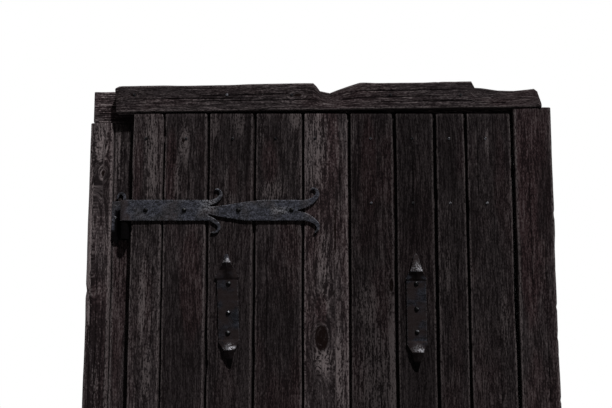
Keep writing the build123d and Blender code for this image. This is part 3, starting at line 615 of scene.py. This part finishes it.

# Each board: how light it is, how silvered and how red. Then its cracks as place across, top, foot and
# width, its knots as place across and down, half width, half height and reach, and its stains and painted
# shadows as kind, place across and down, half width, half length and strength. All are in mm from the
# board's left and the leaf's top
BOARDS = (
    (0.88, 0.62, 0.5,
     ((31, 8, 118, 1.8), (36, 118, 330, 1.2), (47, 300, 520, 1.2), (20, 560, 900, 1.4)), (),
     ((PALE, 43, 95, 11, 105, 0.9), (PALE, 30, 50, 4, 60, 0.8), (RUDDY, 13, 150, 14, 90, 0.7),
      (PALE, 28, 400, 8, 90, 0.7), (PALE, 40, 560, 10, 80, 0.5))),
    (0.84, 0.45, 0.6,
     ((52, 95, 200, 1.0), (17, 20, 190, 0.9), (30, 600, 1100, 1.6)), ((40, 58, 3.5, 7, 5.5),),
     ((PALE, 42, 62, 11, 45, 1.0), (PALE, 28, 150, 8, 50, 0.8), (RUDDY, 14, 110, 14, 110, 0.8),
      (DARK, 83, 110, 8, 110, 0.6), (RUDDY, 60, 380, 20, 120, 0.6), (DARK, 45, 510, 60, 170, 0.4))),
    (0.66, 0.40, 0.35,
     ((46, 52, 70, 2.2), (66, 620, 980, 1.3)), (),
     ((PALE, 11, 25, 9, 34, 0.8), (PALE, 62, 22, 20, 26, 0.7), (PALE, 37, 140, 3, 50, 1.0),
      (RUDDY, 52, 130, 13, 55, 0.8), (DARK, 82, 90, 9, 120, 0.4), (PALE, 46, 188, 12, 18, 0.8))),
    (0.76, 0.52, 0.6,
     ((24, 260, 560, 1.3), (70, 700, 1200, 1.5)), ((30, 900, 9, 18, 3.0),),
     # Its dark stains at 45 and 105 mm down are painted shadows of leaves
     ((PALE, 10, 35, 10, 36, 0.6), (PALE, 84, 16, 13, 22, 0.9), (DARK, 39, 45, 7, 40, 0.7),
      (RUDDY, 30, 110, 22, 60, 0.8), (PALE, 34, 165, 28, 26, 0.7), (DARK, 58, 105, 7, 24, 0.5),
      (DARK, 45, 500, 60, 180, 0.4))),
    (1.16, 0.60, 0.55,
     ((76, 20, 240, 1.0), (20, 560, 900, 1.5)), ((37, 472, 14, 27, 2.4), (66, 250, 2, 60, 7.0)),
     ((PALE, 24, 80, 26, 95, 0.62), (RUDDY, 62, 70, 12, 80, 0.9), (DARK, 76, 150, 10, 50, 0.5),
      (PALE, 43, 330, 13, 90, 0.6), (RUDDY, 38, 412, 11, 30, 0.9), (PALE, 40, 516, 20, 26, 1.0),
      (PALE, 74, 545, 12, 90, 0.6))),
    (0.57, 0.45, 0.65,
     ((18, 10, 130, 1.2), (60, 330, 700, 1.3)), ((85, 364, 6, 14, 3.0),),
     # Its dark stain at the left, 140 mm down, is a painted shadow of leaves
     ((PALE, 8, 42, 3, 36, 1.0), (RUDDY, 40, 110, 16, 100, 0.9), (DARK, 10, 140, 9, 60, 0.6),
      (PALE, 84, 520, 9, 150, 1.0), (PALE, 34, 405, 22, 50, 0.9), (PALE, 50, 540, 44, 110, 0.6),
      (DARK, 40, 250, 18, 60, 0.4))),
    (0.52, 0.35, 0.3,
     ((34, 60, 260, 1.4), (50, 560, 900, 1.2)), (),
     ((DARK, 40, 230, 30, 60, 0.5), (PALE, 46, 40, 3, 40, 0.7), (RUDDY, 40, 620, 26, 60, 0.5))),
    (0.60, 0.42, 0.4,
     ((40, 210, 420, 1.1), (22, 700, 1200, 1.4)), ((30, 820, 7, 15, 3.0),),
     ((DARK, 30, 120, 22, 60, 0.5), (PALE, 20, 330, 6, 60, 0.5), (RUDDY, 40, 480, 16, 120, 0.5))),
    (0.68, 0.45, 0.4,
     ((23, 6, 200, 1.6), (60, 420, 700, 1.3)), ((60, 640, 6, 13, 3.0),),
     ((PALE, 44, 60, 5, 50, 0.8), (RUDDY, 66, 120, 14, 120, 0.6), (DARK, 12, 240, 10, 100, 0.5),
      (PALE, 70, 420, 10, 90, 0.5))),
)

# Arched figure of the fifth board, as place across and down, half width, half length and how steeply it
# closes
FLAMES = {5: ((38, 528, 16, 26, -0.3),)}

# The ledges: how light they are, how silvered and how red
LEDGE_FINISH = (1.15, 0.5, 0.5)


def from_corner(low, entries):
    """Knots, flames or stains in mm from a board's left and the leaf's top, as metres in the frame."""
    found = []
    for *kind, x, down, wide, tall, last in entries:
        found.append((*kind, low.x + x * MM, LEAF_TOP - down * MM, wide * MM, tall * MM, last))
    return found


def crack_places(low, cracks):
    """Cracks as place across, low end, high end and width, in metres."""
    found = []
    for x, top, foot, width in cracks:
        found.append((low.x + x * MM, LEAF_TOP - foot * MM, LEAF_TOP - top * MM, width * MM))
    return found


def board_section(number):
    """The section of a board seen from above, half lapped behind the next one."""
    low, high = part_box(f"plank_{number}")
    first, last = number == 1, number == len(BOARDS)
    middle = (FACE + PLANK_BACK) / 2
    right = high.x if last else high.x - LAP - GAPS[number - 1] * MM
    corners = [(low.x, FACE), (right, FACE)]
    radii = [BOARD_ARRIS, BOARD_ARRIS]
    if last:
        corners += [(right, PLANK_BACK)]
    else:
        corners += [(right, middle), (high.x, middle), (high.x, PLANK_BACK)]
    if first:
        corners += [(low.x, PLANK_BACK)]
    else:
        inner = low.x + LAP + LAP_CLEAR
        corners += [(inner, PLANK_BACK), (inner, middle - LAP_CLEAR), (low.x, middle - LAP_CLEAR)]
    return corners, radii + [0] * (len(corners) - 2)


def boards():
    """The nine boards of the leaf."""
    for number, (light, silver, red, cracks, knots, stains_and_shadows) in enumerate(BOARDS, 1):
        node = f"plank_{number}"
        low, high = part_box(node)
        corners, radii = board_section(number)
        piece = timber(f"board_{number}", corners, radii, (low.z, high.z), number * 10,
                       knots=from_corner(low, knots), cracks=crack_places(low, cracks),
                       stains_and_shadows=from_corner(low, stains_and_shadows), flames=from_corner(low, FLAMES.get(number, ())))
        dressed(piece, "leaf", "plank_wood", wood(f"board_wood_{number}", light, silver, red), node)


def ledges():
    """The three ledges across the back of the boards."""
    for number, place in enumerate(("top", "middle", "bottom")):
        node = f"ledge_{place}"
        low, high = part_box(node)
        corners = block_section(low.z, high.z, low.y, high.y)
        piece = timber(f"ledge_{place}_board", corners, (0, 0, LEDGE_ARRIS, LEDGE_ARRIS), (low.x, high.x),
                       200 + number * 10, upright=False, spacings=(COARSE, MIDDLING, MIDDLING))
        dressed(piece, "leaf", "ledge_wood", wood(f"ledge_wood_{place}", *LEDGE_FINISH), node)


boards()
ledges()


# Ironwork


def applied(piece):
    """Works a piece's modifiers into its mesh."""
    graph = bpy.context.evaluated_depsgraph_get()
    mesh = bpy.data.meshes.new_from_object(piece.evaluated_get(graph), preserve_all_data_layers=True,
                                           depsgraph=graph)
    piece.modifiers.clear()
    piece.data = mesh


def shape_of(mesh):
    """The points of a mesh and their directions outwards."""
    points, normals = np.empty(len(mesh.vertices) * 3), np.empty(len(mesh.vertices) * 3)
    mesh.vertices.foreach_get("co", points)
    mesh.vertex_normals.foreach_get("vector", normals)
    return points.reshape(-1, 3), normals.reshape(-1, 3)


def edges_worn(mesh):
    """How rubbed each point of a mesh is, from how far it stands out of its neighbours."""
    points, normals = shape_of(mesh)
    pairs = np.empty(len(mesh.edges) * 2, int)
    mesh.edges.foreach_get("vertices", pairs)
    pairs = pairs.reshape(-1, 2)
    out, count = np.zeros(len(points)), np.zeros(len(points))
    for one, other in (pairs.T, pairs[:, ::-1].T):
        run = points[one] - points[other]
        run = run / np.linalg.norm(run, axis=1)[:, None]
        np.add.at(out, one, (run * normals[one]).sum(axis=1))
        np.add.at(count, one, 1)
    return smooth(out / count, *RUBBED_EDGE)


def marked(piece, grime=None, bright=None, ruddy=None):
    """Stores each point's grime and painted shade, its wear and painted highlight, and its rust."""
    edge = edges_worn(piece.data)
    none = np.zeros(len(edge))
    bright = edge if bright is None else np.maximum(edge, bright)
    kept = [none if value is None else value for value in (grime, bright, ruddy)]
    keep(piece, "marks", np.stack(kept, axis=1))


def forged(name, node, skin=STRAP_SKIN, dents=STRAP_DENTS, marks=None, shaping=None):
    """A node's shape as it leaves the hammer: rounded edges, dented faces, and its marks of use and
    painted light.
    """
    piece = placed(name, frame["nodes"][node].data.copy())
    remesh = piece.modifiers.new("skin", "REMESH")
    remesh.mode = "VOXEL"
    remesh.voxel_size = skin
    relax = piece.modifiers.new("relax", "SMOOTH")
    relax.factor = 0.5
    relax.iterations = SMOOTHING
    applied(piece)
    mesh = piece.data
    mesh.shade_smooth()
    points, normals = shape_of(mesh)
    across, through, up = points.T / np.array(BLOW)[:, None]
    blows = noise(across + through, up, BLOW_SEED)
    points -= normals * (dents * smooth(blows, 0.35, 1.0))[:, None]
    if shaping:
        shaping(points)
    mesh.vertices.foreach_set("co", points.ravel())
    mesh.update()
    marked(piece, *marks(*shape_of(mesh)) if marks else ())
    return piece


def strap_marks(points, normals):
    """Rust round the strap's eye, and a painted highlight by its first tails and along its second part."""
    low, high = points.min(0), points.max(0)
    along, level = (points[:, 0] - low[0]) / MM, (points[:, 2] - (low[2] + high[2]) / 2) / MM
    tails = smooth(abs(along - FIRST_TAIL), *TAIL_ALONG) * smooth(level, *TAIL_LEVEL)
    second = smooth(abs(along - SECOND_PART), *SECOND_ALONG) * smooth(abs(level), *SECOND_LEVEL)
    return None, np.maximum(tails, second) * STRAP_HIGHLIGHT, smooth(along, *EYE_RUST)


def pintle_painted_shadow(points, normals):
    """The strap's shadow is painted black on the pin's arm and on the plate's foot, and a strip beside the
    arm is left lit.
    """
    low, high = points.min(0), points.max(0)
    across, down = (points[:, 0] - low[0]) / MM, (high[2] - points[:, 2]) / MM
    strap_shadow = smooth(across, *PLATE_LIT_STRIP) * smooth(down, *PLATE_UNSHADED_TOP)
    return np.maximum(strap_shadow, smooth(down, *PLATE_SHADED_FOOT)), None, None


def ridged(points):
    """Bends both sides of a cleat's leaves back from a ridge down their middle."""
    level = np.round((points[:, 2] - points[:, 2].min()) / CLEAT_SLICE).astype(int)
    left, right = np.full(level.max() + 1, 1.0), np.full(level.max() + 1, -1.0)
    np.minimum.at(left, level, points[:, 0])
    np.maximum.at(right, level, points[:, 0])
    middle = (left + right)[level] / 2
    points[:, 1] += CLEAT_FALL * abs(points[:, 0] - middle) * smooth(FACE - points[:, 1], *CLEAT_LEAF)


def cleat_marks(points, normals):
    """A cleat is rusty. Its leaves have a painted highlight facing up, painted shade facing down, and a
    black painted tip below.
    """
    low, high = points.min(0), points.max(0)
    out = FACE - points[:, 1]
    across = (points[:, 0] - low[0]) / (high[0] - low[0])
    sloped = smooth(abs(normals[:, 2]), 0.06, 0.25) * smooth(out, *CLEAT_RUSTY)
    # Painted highlight on up-facing leaves, stronger to the right; painted shade on down-facing slopes and
    # the lower tip
    bright = smooth(out, *CLEAT_HIGHLIGHT) * smooth(normals[:, 2], 0.02, 0.3)
    bright = bright * (0.3 + 0.7 * smooth(across, 0.4, 0.75))
    underside_shade = sloped * smooth(0.02 - normals[:, 2], 0.0, 0.1)
    tip = smooth(points[:, 2] - low[2], *CLEAT_SHADED_TIP)
    return np.maximum(tip, underside_shade * 0.6), bright, np.maximum(sloped, 0.55)


def solids_of(node, axis):
    """The lowest and highest corner of each separate solid of a node, told apart across an axis."""
    points = np.array([vertex.co for vertex in frame["nodes"][node].data.vertices])
    across = np.delete(points, axis, axis=1)
    found = []
    while len(points):
        near = np.linalg.norm(across - across[0], axis=1) < APART
        found.append((points[near].min(0), points[near].max(0)))
        points, across = points[~near], across[~near]
    return found


def lathed(profile, centre, axis, seed):
    """Points and faces of a hammered round: rings of (radius, place along the axis), a little uneven."""
    sides = HEAD_SIDES
    draw = np.random.default_rng(seed)
    turns = np.arange(sides) * 2 * math.pi / sides + draw.random() * math.pi
    points, faces = [], []
    for radius, place in profile:
        for turn in turns + draw.uniform(-HEAD_STRAY, HEAD_STRAY, sides):
            reach = radius * draw.uniform(HEAD_LEAST, 1.0)
            point = np.insert([math.cos(turn) * reach, math.sin(turn) * reach], axis, 0.0) + centre
            point[axis] = place
            points.append(point)
    for ring in range(len(profile) - 1):
        for side in range(sides):
            after = (side + 1) % sides
            faces.append([ring * sides + side, ring * sides + after, (ring + 1) * sides + after,
                          (ring + 1) * sides + side])
    ring = list(range(sides))
    faces += [ring[::-1], [(len(profile) - 1) * sides + side for side in ring]]
    return points, faces


def head_profile(crown, tip, sizes):
    """The outline of a nail or rivet from its crown to its tip, as (radius, place along its axis)."""
    base, height, shank, tail, tail_height = sizes
    way = 1 if tip > crown else -1
    seat = crown + way * height
    profile = [(base * 0.3, crown), (base * 0.72, crown + way * height * 0.25),
               (base * 0.97, seat - way * height * 0.3), (base, seat), (shank, seat),
               (shank, tip - way * tail_height)]
    if tail:
        profile += [(tail, tip - way * tail_height), (tail * 0.8, tip)]
    return profile


def fasteners(name, node, sizes, axis=1, heads_low=True, shiny=None, painted_glint=False):
    """The nails or rivets of a node. What shiny leaves out is grimy, and a painted glint highlights the
    upper right.
    """
    points, faces, grime = [], [], []
    for number, (low, high) in enumerate(solids_of(node, axis)):
        centre = (low + high) / 2
        crown, tip = (low[axis], high[axis]) if heads_low else (high[axis], low[axis])
        more, sheets = lathed(head_profile(crown, tip, sizes), centre, axis, number)
        faces += [[corner + len(points) for corner in face] for face in sheets]
        points += more
        grime += [0.0 if shiny is None or shiny(centre) else HEAD_GRIME] * len(more)
    mesh = bpy.data.meshes.new(name)
    mesh.from_pydata([tuple(point) for point in points], [], faces)
    piece = placed(name, mesh)
    facing_out(mesh)
    grime = np.array(grime)
    if painted_glint:
        glint_share = smooth(shape_of(mesh)[1] @ np.array(PAINTED_GLINT_WAY), *PAINTED_GLINT_FACING)
        keep(piece, "marks", np.stack([grime, glint_share, np.zeros(len(glint_share))], axis=1))
    else:
        marked(piece, grime=grime)
    return piece


def facing_out(mesh):
    """Turns every face of a closed mesh outwards."""
    work = bmesh.new()
    work.from_mesh(mesh)
    bmesh.ops.recalc_face_normals(work, faces=work.faces)
    work.to_mesh(mesh)
    work.free()


def on_bright_board(place):
    """Whether a nail is in one of the boards whose nails are rubbed bright."""
    for number in BRIGHT_NAIL_BOARDS:
        low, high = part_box(f"plank_{number}")
        if low.x < place[0] < high.x:
            return True
    return False


def on_bright_stretch(place):
    """Whether a nail is where the lintel's nail is rubbed bright."""
    low, high = BRIGHT_LINTEL_NAIL
    return low < place[0] < high


def forge(node, body, finish, name=None, **how):
    """A forging in the place of its node, and called after it if it has no other name."""
    dressed(forged(f"{name or node}_forging", node, **how), body, "forged_iron", finish, node)


def rivet(name, node, finish):
    """The rivets of a node, in its place on the leaf."""
    dressed(fasteners(name, node, RIVET, painted_glint=True), "leaf", "forged_iron", finish, node)


def nail(name, node, body, sizes=NAIL, **how):
    """The nails of a node, in its place."""
    dressed(fasteners(name, node, sizes, **how), body, "nail_iron", NAIL_IRON, node)


# The iron pieces' finishes, and how a small piece is forged
STRAP_IRON = iron("strap_iron", 1.05, 0.5, 0.55)
CLEAT_IRON = iron("cleat_iron", 0.48, 0.75, 0.55, rough=0.42)
# A rivet's bright share shows only as its painted glint on the upper right
RIVET_IRON = iron("rivet_iron", 0.015, 0.3, 0.10, metal=0.0, shine=0.03, rough=0.3)
PAINTED_GLINT_RIVET_IRON = iron("painted_glint_rivet_iron", 0.015, 0.3, 0.34, metal=0.0, shine=0.03, rough=0.3)
# The pins are painted nearly black, as painted shade under the strap's eye
SHADE_BLACK_IRON = iron("shade_black_iron", 0.012, 0.3, 0.0, metal=0.0, shine=0.0, rough=0.9)
NAIL_IRON = iron("nail_head_iron", 0.7, 0.5, 0.5)
FINELY = {"skin": FINE_SKIN, "dents": FINE_DENTS}


def hinge(level):
    """A strap with its rivets, and its pintle with pin and nails."""
    forge(f"strap_{level}", "leaf", STRAP_IRON, marks=strap_marks)
    forge(f"pintle_plate_{level}", "frame", STRAP_IRON, f"pintle_{level}", marks=pintle_painted_shadow, **FINELY)
    forge(f"pintle_pin_{level}", "frame", SHADE_BLACK_IRON, f"pin_{level}", **FINELY)
    rivet(f"strap_rivet_heads_{level}", f"strap_rivets_{level}", RIVET_IRON)
    nail(f"pintle_nail_heads_{level}", f"pintle_nails_{level}", "frame")


def cleats():
    """Both cleats and their rivets."""
    for side in ("left", "right"):
        forge(f"cleat_{side}", "leaf", CLEAT_IRON, skin=CLEAT_SKIN, marks=cleat_marks, shaping=ridged)
    rivet("cleat_rivet_heads", "cleat_rivets", PAINTED_GLINT_RIVET_IRON)


def timber_nails():
    """The nails of the boards, the lintel and both stops."""
    nail("board_nail_heads", "plank_nails", "leaf", shiny=on_bright_board)
    nail("lintel_nail_heads", "lintel_nails", "frame", shiny=on_bright_stretch)
    nail("stop_nail_heads_left", "stop_nails_left", "frame", axis=0, heads_low=False)
    nail("stop_nail_heads_right", "stop_nails_right", "frame", axis=0)


def ring_pull():
    """The pull: its rose, eye and nut, and the ring that hangs in the eye."""
    for node in ("pull_rose", "pull_eye", "pull_nut"):
        forge(node, "leaf", STRAP_IRON, **FINELY)
    forge("pull_ring", "ring", STRAP_IRON, **FINELY)


def bolt():
    """The sliding bolt: its plate, guides, nails and bar, and the keep in the jamb."""
    for node in ("bolt_plate", "bolt_guide_inner", "bolt_guide_outer"):
        forge(node, "leaf", STRAP_IRON, **FINELY)
    nail("bolt_nail_heads", "bolt_nails", "leaf", sizes=GUIDE_NAIL, heads_low=False)
    forge("bolt_bar", "bolt", STRAP_IRON, **FINELY)
    forge("bolt_keep", "frame", STRAP_IRON, **FINELY)


hinge("upper")
hinge("lower")
cleats()
timber_nails()
ring_pull()
bolt()


# Frame

# The lintel's top and underside, as places from the middle of the frame and heights above the leaf's top,
# in mm. Then how far its left end leans, and over what length
LINTEL_TOP = ((-437, 55), (-427, 60), (-250, 63), (-9, 67), (-4, 50.5), (21, 44.5), (36, 50.5), (52, 56.5),
              (69, 62.5), (86, 68), (325, 71), (327, 57), (347.5, 55.5), (378, 50.5), (414.5, 50.5),
              (462, 55.5), (469.5, 30), (472.5, 20))
LINTEL_FOOT = ((-433.5, 2), (472.5, 14))
LINTEL_LEAN = 3.5 * MM
LINTEL_LEANING = 30 * MM

# How far the header's top falls from its left end to its right, and where the lintel's shadow is painted
# on
# it in black: from and to these distances from the middle, and up to this height, in mm, and its strength
HEADER_FALL = 12 * MM
HEADER_PAINTED_SHADOW = (-452, -300, 24)
PAINTED_SHADOW_STRENGTH = 1.7

# The cracks in the header's left end: how many, their spacing, the height of the lowest, where they start
# and end, how much that changes from one to the next, and their width, in mm
HATCHES = 15
HATCH = 4.2
HATCH_LOWEST = 5
HATCH_START = -486
HATCH_START_STEP = 4
HATCH_END = -396
HATCH_END_STEP = 9
HATCH_WIDTH = 1.2


def lintel_shaped(across, depth, along):
    """Fits a straight board to the lintel's outline, with its left end leaning."""
    share = (across - LINTEL_LOW.z) / (LINTEL_HIGH.z - LINTEL_LOW.z)
    foot = LEAF_TOP + np.interp(along / MM, *zip(*LINTEL_FOOT)) * MM
    top = LEAF_TOP + np.interp(along / MM, *zip(*LINTEL_TOP)) * MM
    near_end = smooth(LINTEL_LOW.x + LINTEL_LEANING - along, 0.0, LINTEL_LEANING)
    return foot + share * (top - foot), depth, along + LINTEL_LEAN * (1 - share) * near_end


def header_shaped(across, depth, along):
    """Lowers the header's top towards its right end."""
    share = (across - HEADER_LOW.z) / (HEADER_HIGH.z - HEADER_LOW.z)
    fall = HEADER_FALL * share * (along - HEADER_LOW.x) / (HEADER_HIGH.x - HEADER_LOW.x)
    return across - fall, depth, along


def right_post_shaped(across, depth, along):
    """Above the header's foot only the front of the post goes on, to carry the lintel."""
    return across, np.where(along > HEADER_LOW.z, np.minimum(depth, HEADER_LOW.y), depth), along


def post(node, seed, radii, light, silver, red, cracks=(), knots=(), stains_and_shadows=(), flames=(), shaped=None,
         pocket=None):
    """An upright timber of the frame, in the place of its node."""
    low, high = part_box(node)
    corners = block_section(low.x, high.x, low.y, high.y)
    piece = timber(f"{node}_post", corners, radii, (low.z, high.z), seed, knots=from_corner(low, knots),
                   cracks=crack_places(low, cracks), stains_and_shadows=from_corner(low, stains_and_shadows),
                   flames=from_corner(low, flames), shaped=shaped)
    if pocket:
        hollowed(piece, pocket)
    dressed(piece, "frame", "frame_wood", wood(f"{node}_wood", light, silver, red), node)


def block(opening):
    """A plain block that fills one of the frame's openings."""
    openings = {each["name"]: each["box_m"] for each in frame["record"]["physics"]["openings"]}
    low, high = (Vector(corner) for corner in openings[opening])
    work = bmesh.new()
    bmesh.ops.create_cube(work, size=1.0)
    for vertex in work.verts:
        vertex.co = [(low[n] + high[n]) / 2 + vertex.co[n] * (high[n] - low[n]) for n in range(3)]
    mesh = bpy.data.meshes.new(opening)
    work.to_mesh(mesh)
    work.free()
    return placed(opening, mesh)


def hollowed(piece, opening):
    """Cuts one of the frame's openings out of a timber. New points keep what the nearest old one kept."""
    cutter = block(opening)
    whole = piece.data
    cut = piece.modifiers.new("pocket", "BOOLEAN")
    cut.operation = "DIFFERENCE"
    cut.object = cutter
    applied(piece)
    bpy.data.objects.remove(cutter)
    nearest = KDTree(len(whole.vertices))
    for vertex in whole.vertices:
        nearest.insert(vertex.co, vertex.index)
    nearest.balance()
    found = [nearest.find(vertex.co)[1] for vertex in piece.data.vertices]
    for name in ("grain", "marks", "weather"):
        values = np.array([point.vector for point in whole.attributes[name].data])[found]
        if name in piece.data.attributes:
            piece.data.attributes.remove(piece.data.attributes[name])
        keep(piece, name, values)


def beam(node, seed, radii, light, silver, red, cracks=(), knots=(), shaped=None, painted_shadow=None,
         spacings=(FINE, COARSE, COARSE)):
    """A level timber of the frame, with its marks in mm from the frame's middle and its own foot."""
    low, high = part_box(node)
    stains_and_shadows, hearts, splits = [], [], []
    # The lintel's painted shadow is laid on as a dark stain
    if painted_shadow:
        start, end, top = (place * MM for place in painted_shadow)
        stains_and_shadows.append((DARK, low.z, (start + end) / 2, top, (end - start) / 2, PAINTED_SHADOW_STRENGTH))
    for x, z, wide, tall, reach in knots:
        hearts.append((low.z + z * MM, x * MM, tall * MM, wide * MM, reach))
    for z, start, end, width in cracks:
        splits.append((low.z + z * MM, start * MM, end * MM, width * MM))
    corners = block_section(low.z, high.z, low.y, high.y)
    piece = timber(f"{node}_beam", corners, radii, (low.x, high.x), seed, upright=False, shaped=shaped,
                   spacings=spacings, stains_and_shadows=stains_and_shadows, knots=hearts, cracks=splits)
    dressed(piece, "frame", "lintel_wood", wood(f"{node}_wood", light, silver, red), node)


def hatched():
    """Cracks one above the other in the header's left end, with uneven starts and ends."""
    found = []
    for number in range(HATCHES):
        start = HATCH_START + HATCH_START_STEP * (number % 3)
        end = HATCH_END - HATCH_END_STEP * (number % 4)
        found.append((HATCH_LOWEST + HATCH * number, start, end, HATCH_WIDTH))
    return found


def outer_frame():
    """The lintel on the header, the jambs, and the stops inside them."""
    all_round = (POST_ARRIS,) * 4
    beam("lintel", 310, (BOARD_ARRIS,) * 4, 1.15, 0.7, 0.45, shaped=lintel_shaped,
         cracks=((33, -380, -120, 1.6), (26, -300, 20, 1.4), (40, -260, -60, 1.3), (46, 60, 300, 1.4),
                 (30, 40, 260, 1.3), (18, 120, 420, 1.2)),
         knots=((-396, 44, 8, 4, 5.0), (-48, 38, 9, 4.5, 5.0)))
    beam("header", 320, all_round, 2.15, 0.8, 0.4, cracks=hatched(), shaped=header_shaped,
         painted_shadow=HEADER_PAINTED_SHADOW, spacings=(HATCH * MM / 3, COARSE, COARSE))
    post("jamb_left", 330, all_round, 1.42, 0.75, 0.5,
         cracks=((12, 60, 700, 1.6), (24, 240, 900, 1.4), (36, 330, 760, 1.6), (33, 30, 90, 1.6),
                 (44, 420, 800, 1.2)),
         knots=((31, 124, 4.5, 7, 6.0),), flames=((30, 270, 24, 130, 0.09),),
         stains_and_shadows=((PALE, 24, 60, 18, 50, 0.7), (PALE, 8, 300, 7, 240, 0.8), (DARK, 40, 150, 6, 50, 0.5),
                 (PALE, 28, 560, 14, 120, 0.6), (DARK, 26, 560, 40, 200, 0.8)))
    post("stop_left", 340, all_round, 0.95, 0.55, 0.5, cracks=((14, 20, 170, 1.3), (22, 30, 150, 1.1)),
         stains_and_shadows=((PALE, 12, 90, 8, 70, 0.6), (RUDDY, 16, 420, 16, 200, 0.9)))
    post("stop_right", 350, all_round, 0.9, 0.5, 0.4)
    post("jamb_right", 360, all_round, 0.9, 0.4, 0.7, cracks=((30, 40, 420, 1.5), (58, 260, 900, 1.6)),
         stains_and_shadows=((RUDDY, 24, 240, 20, 200, 0.8), (DARK, 60, 160, 16, 140, 0.5)), shaped=right_post_shaped,
         pocket="bolt_pocket")


outer_frame()


# Light, floor and camera


def sun(name, way, strength, width):
    """A lamp far away, in the direction that is given."""
    light = bpy.data.lights.new(name, "SUN")
    light.energy = strength
    light.angle = math.radians(width)
    lamp = bpy.data.objects.new(name, light)
    bpy.context.collection.objects.link(lamp)
    lamp.rotation_euler = (-Vector(way)).to_track_quat("-Z", "Y").to_euler()


def seen_directly(nodes):
    """1 where the camera, a mirror or a view through glass sees a surface, and 0 where it only lights."""
    path = nodes.node("ShaderNodeLightPath").node
    rays = (path.outputs[f"Is {kind} Ray"] for kind in ("Camera", "Glossy", "Transmission"))
    seen, mirrored, through = (Value(nodes, ray) for ray in rays)
    return 1 - (1 - seen) * (1 - mirrored) * (1 - through)


def studio():
    """A white backdrop, a plain pale floor, a lamp from the upper right and a softer one behind."""
    world = bpy.data.worlds.new("studio")
    world.use_nodes = True
    bpy.context.scene.world = world
    nodes = Nodes(world.node_tree)
    background = nodes.tree.nodes["Background"]
    nodes.feed(background.inputs["Color"], (1.0, 1.0, 1.0, 1.0))
    nodes.feed(background.inputs["Strength"], FILL + seen_directly(nodes) * (1 - FILL))
    half = FLOOR_SIZE / 2
    corners = [(-half, -half, 0), (half, -half, 0), (half, half, 0), (-half, half, 0)]
    mesh = bpy.data.meshes.new("floor")
    mesh.from_pydata(corners, [], [(0, 1, 2, 3)])
    floor = placed("floor", mesh)
    finish = Finish("pale_floor")
    ground = finish.mix(seen_directly(finish), (BOUNCE_GREY,) * 3, (FLOOR_GREY,) * 3)
    floor.data.materials.append(finish.surface(Base_Color=ground, Roughness=0.9))
    sun("key", KEY_WAY, KEY_STRENGTH, KEY_WIDTH)
    sun("back", BACK_WAY, BACK_STRENGTH, BACK_WIDTH)
    bpy.context.scene.view_settings.view_transform = "Standard"


def camera():
    """The camera stands in front of the upper hinge and looks a little up."""
    data = bpy.data.cameras.new("camera")
    data.lens = LENS
    data.sensor_width = SENSOR
    viewer = bpy.data.objects.new("camera", data)
    bpy.context.collection.objects.link(viewer)
    viewer.location = (CAMERA_X, FACE - CAMERA_AWAY, LEAF_TOP - CAMERA_DROP)
    viewer.rotation_euler = (math.radians(90 + CAMERA_TILT), 0.0, 0.0)
    bpy.context.scene.camera = viewer


studio()
camera()
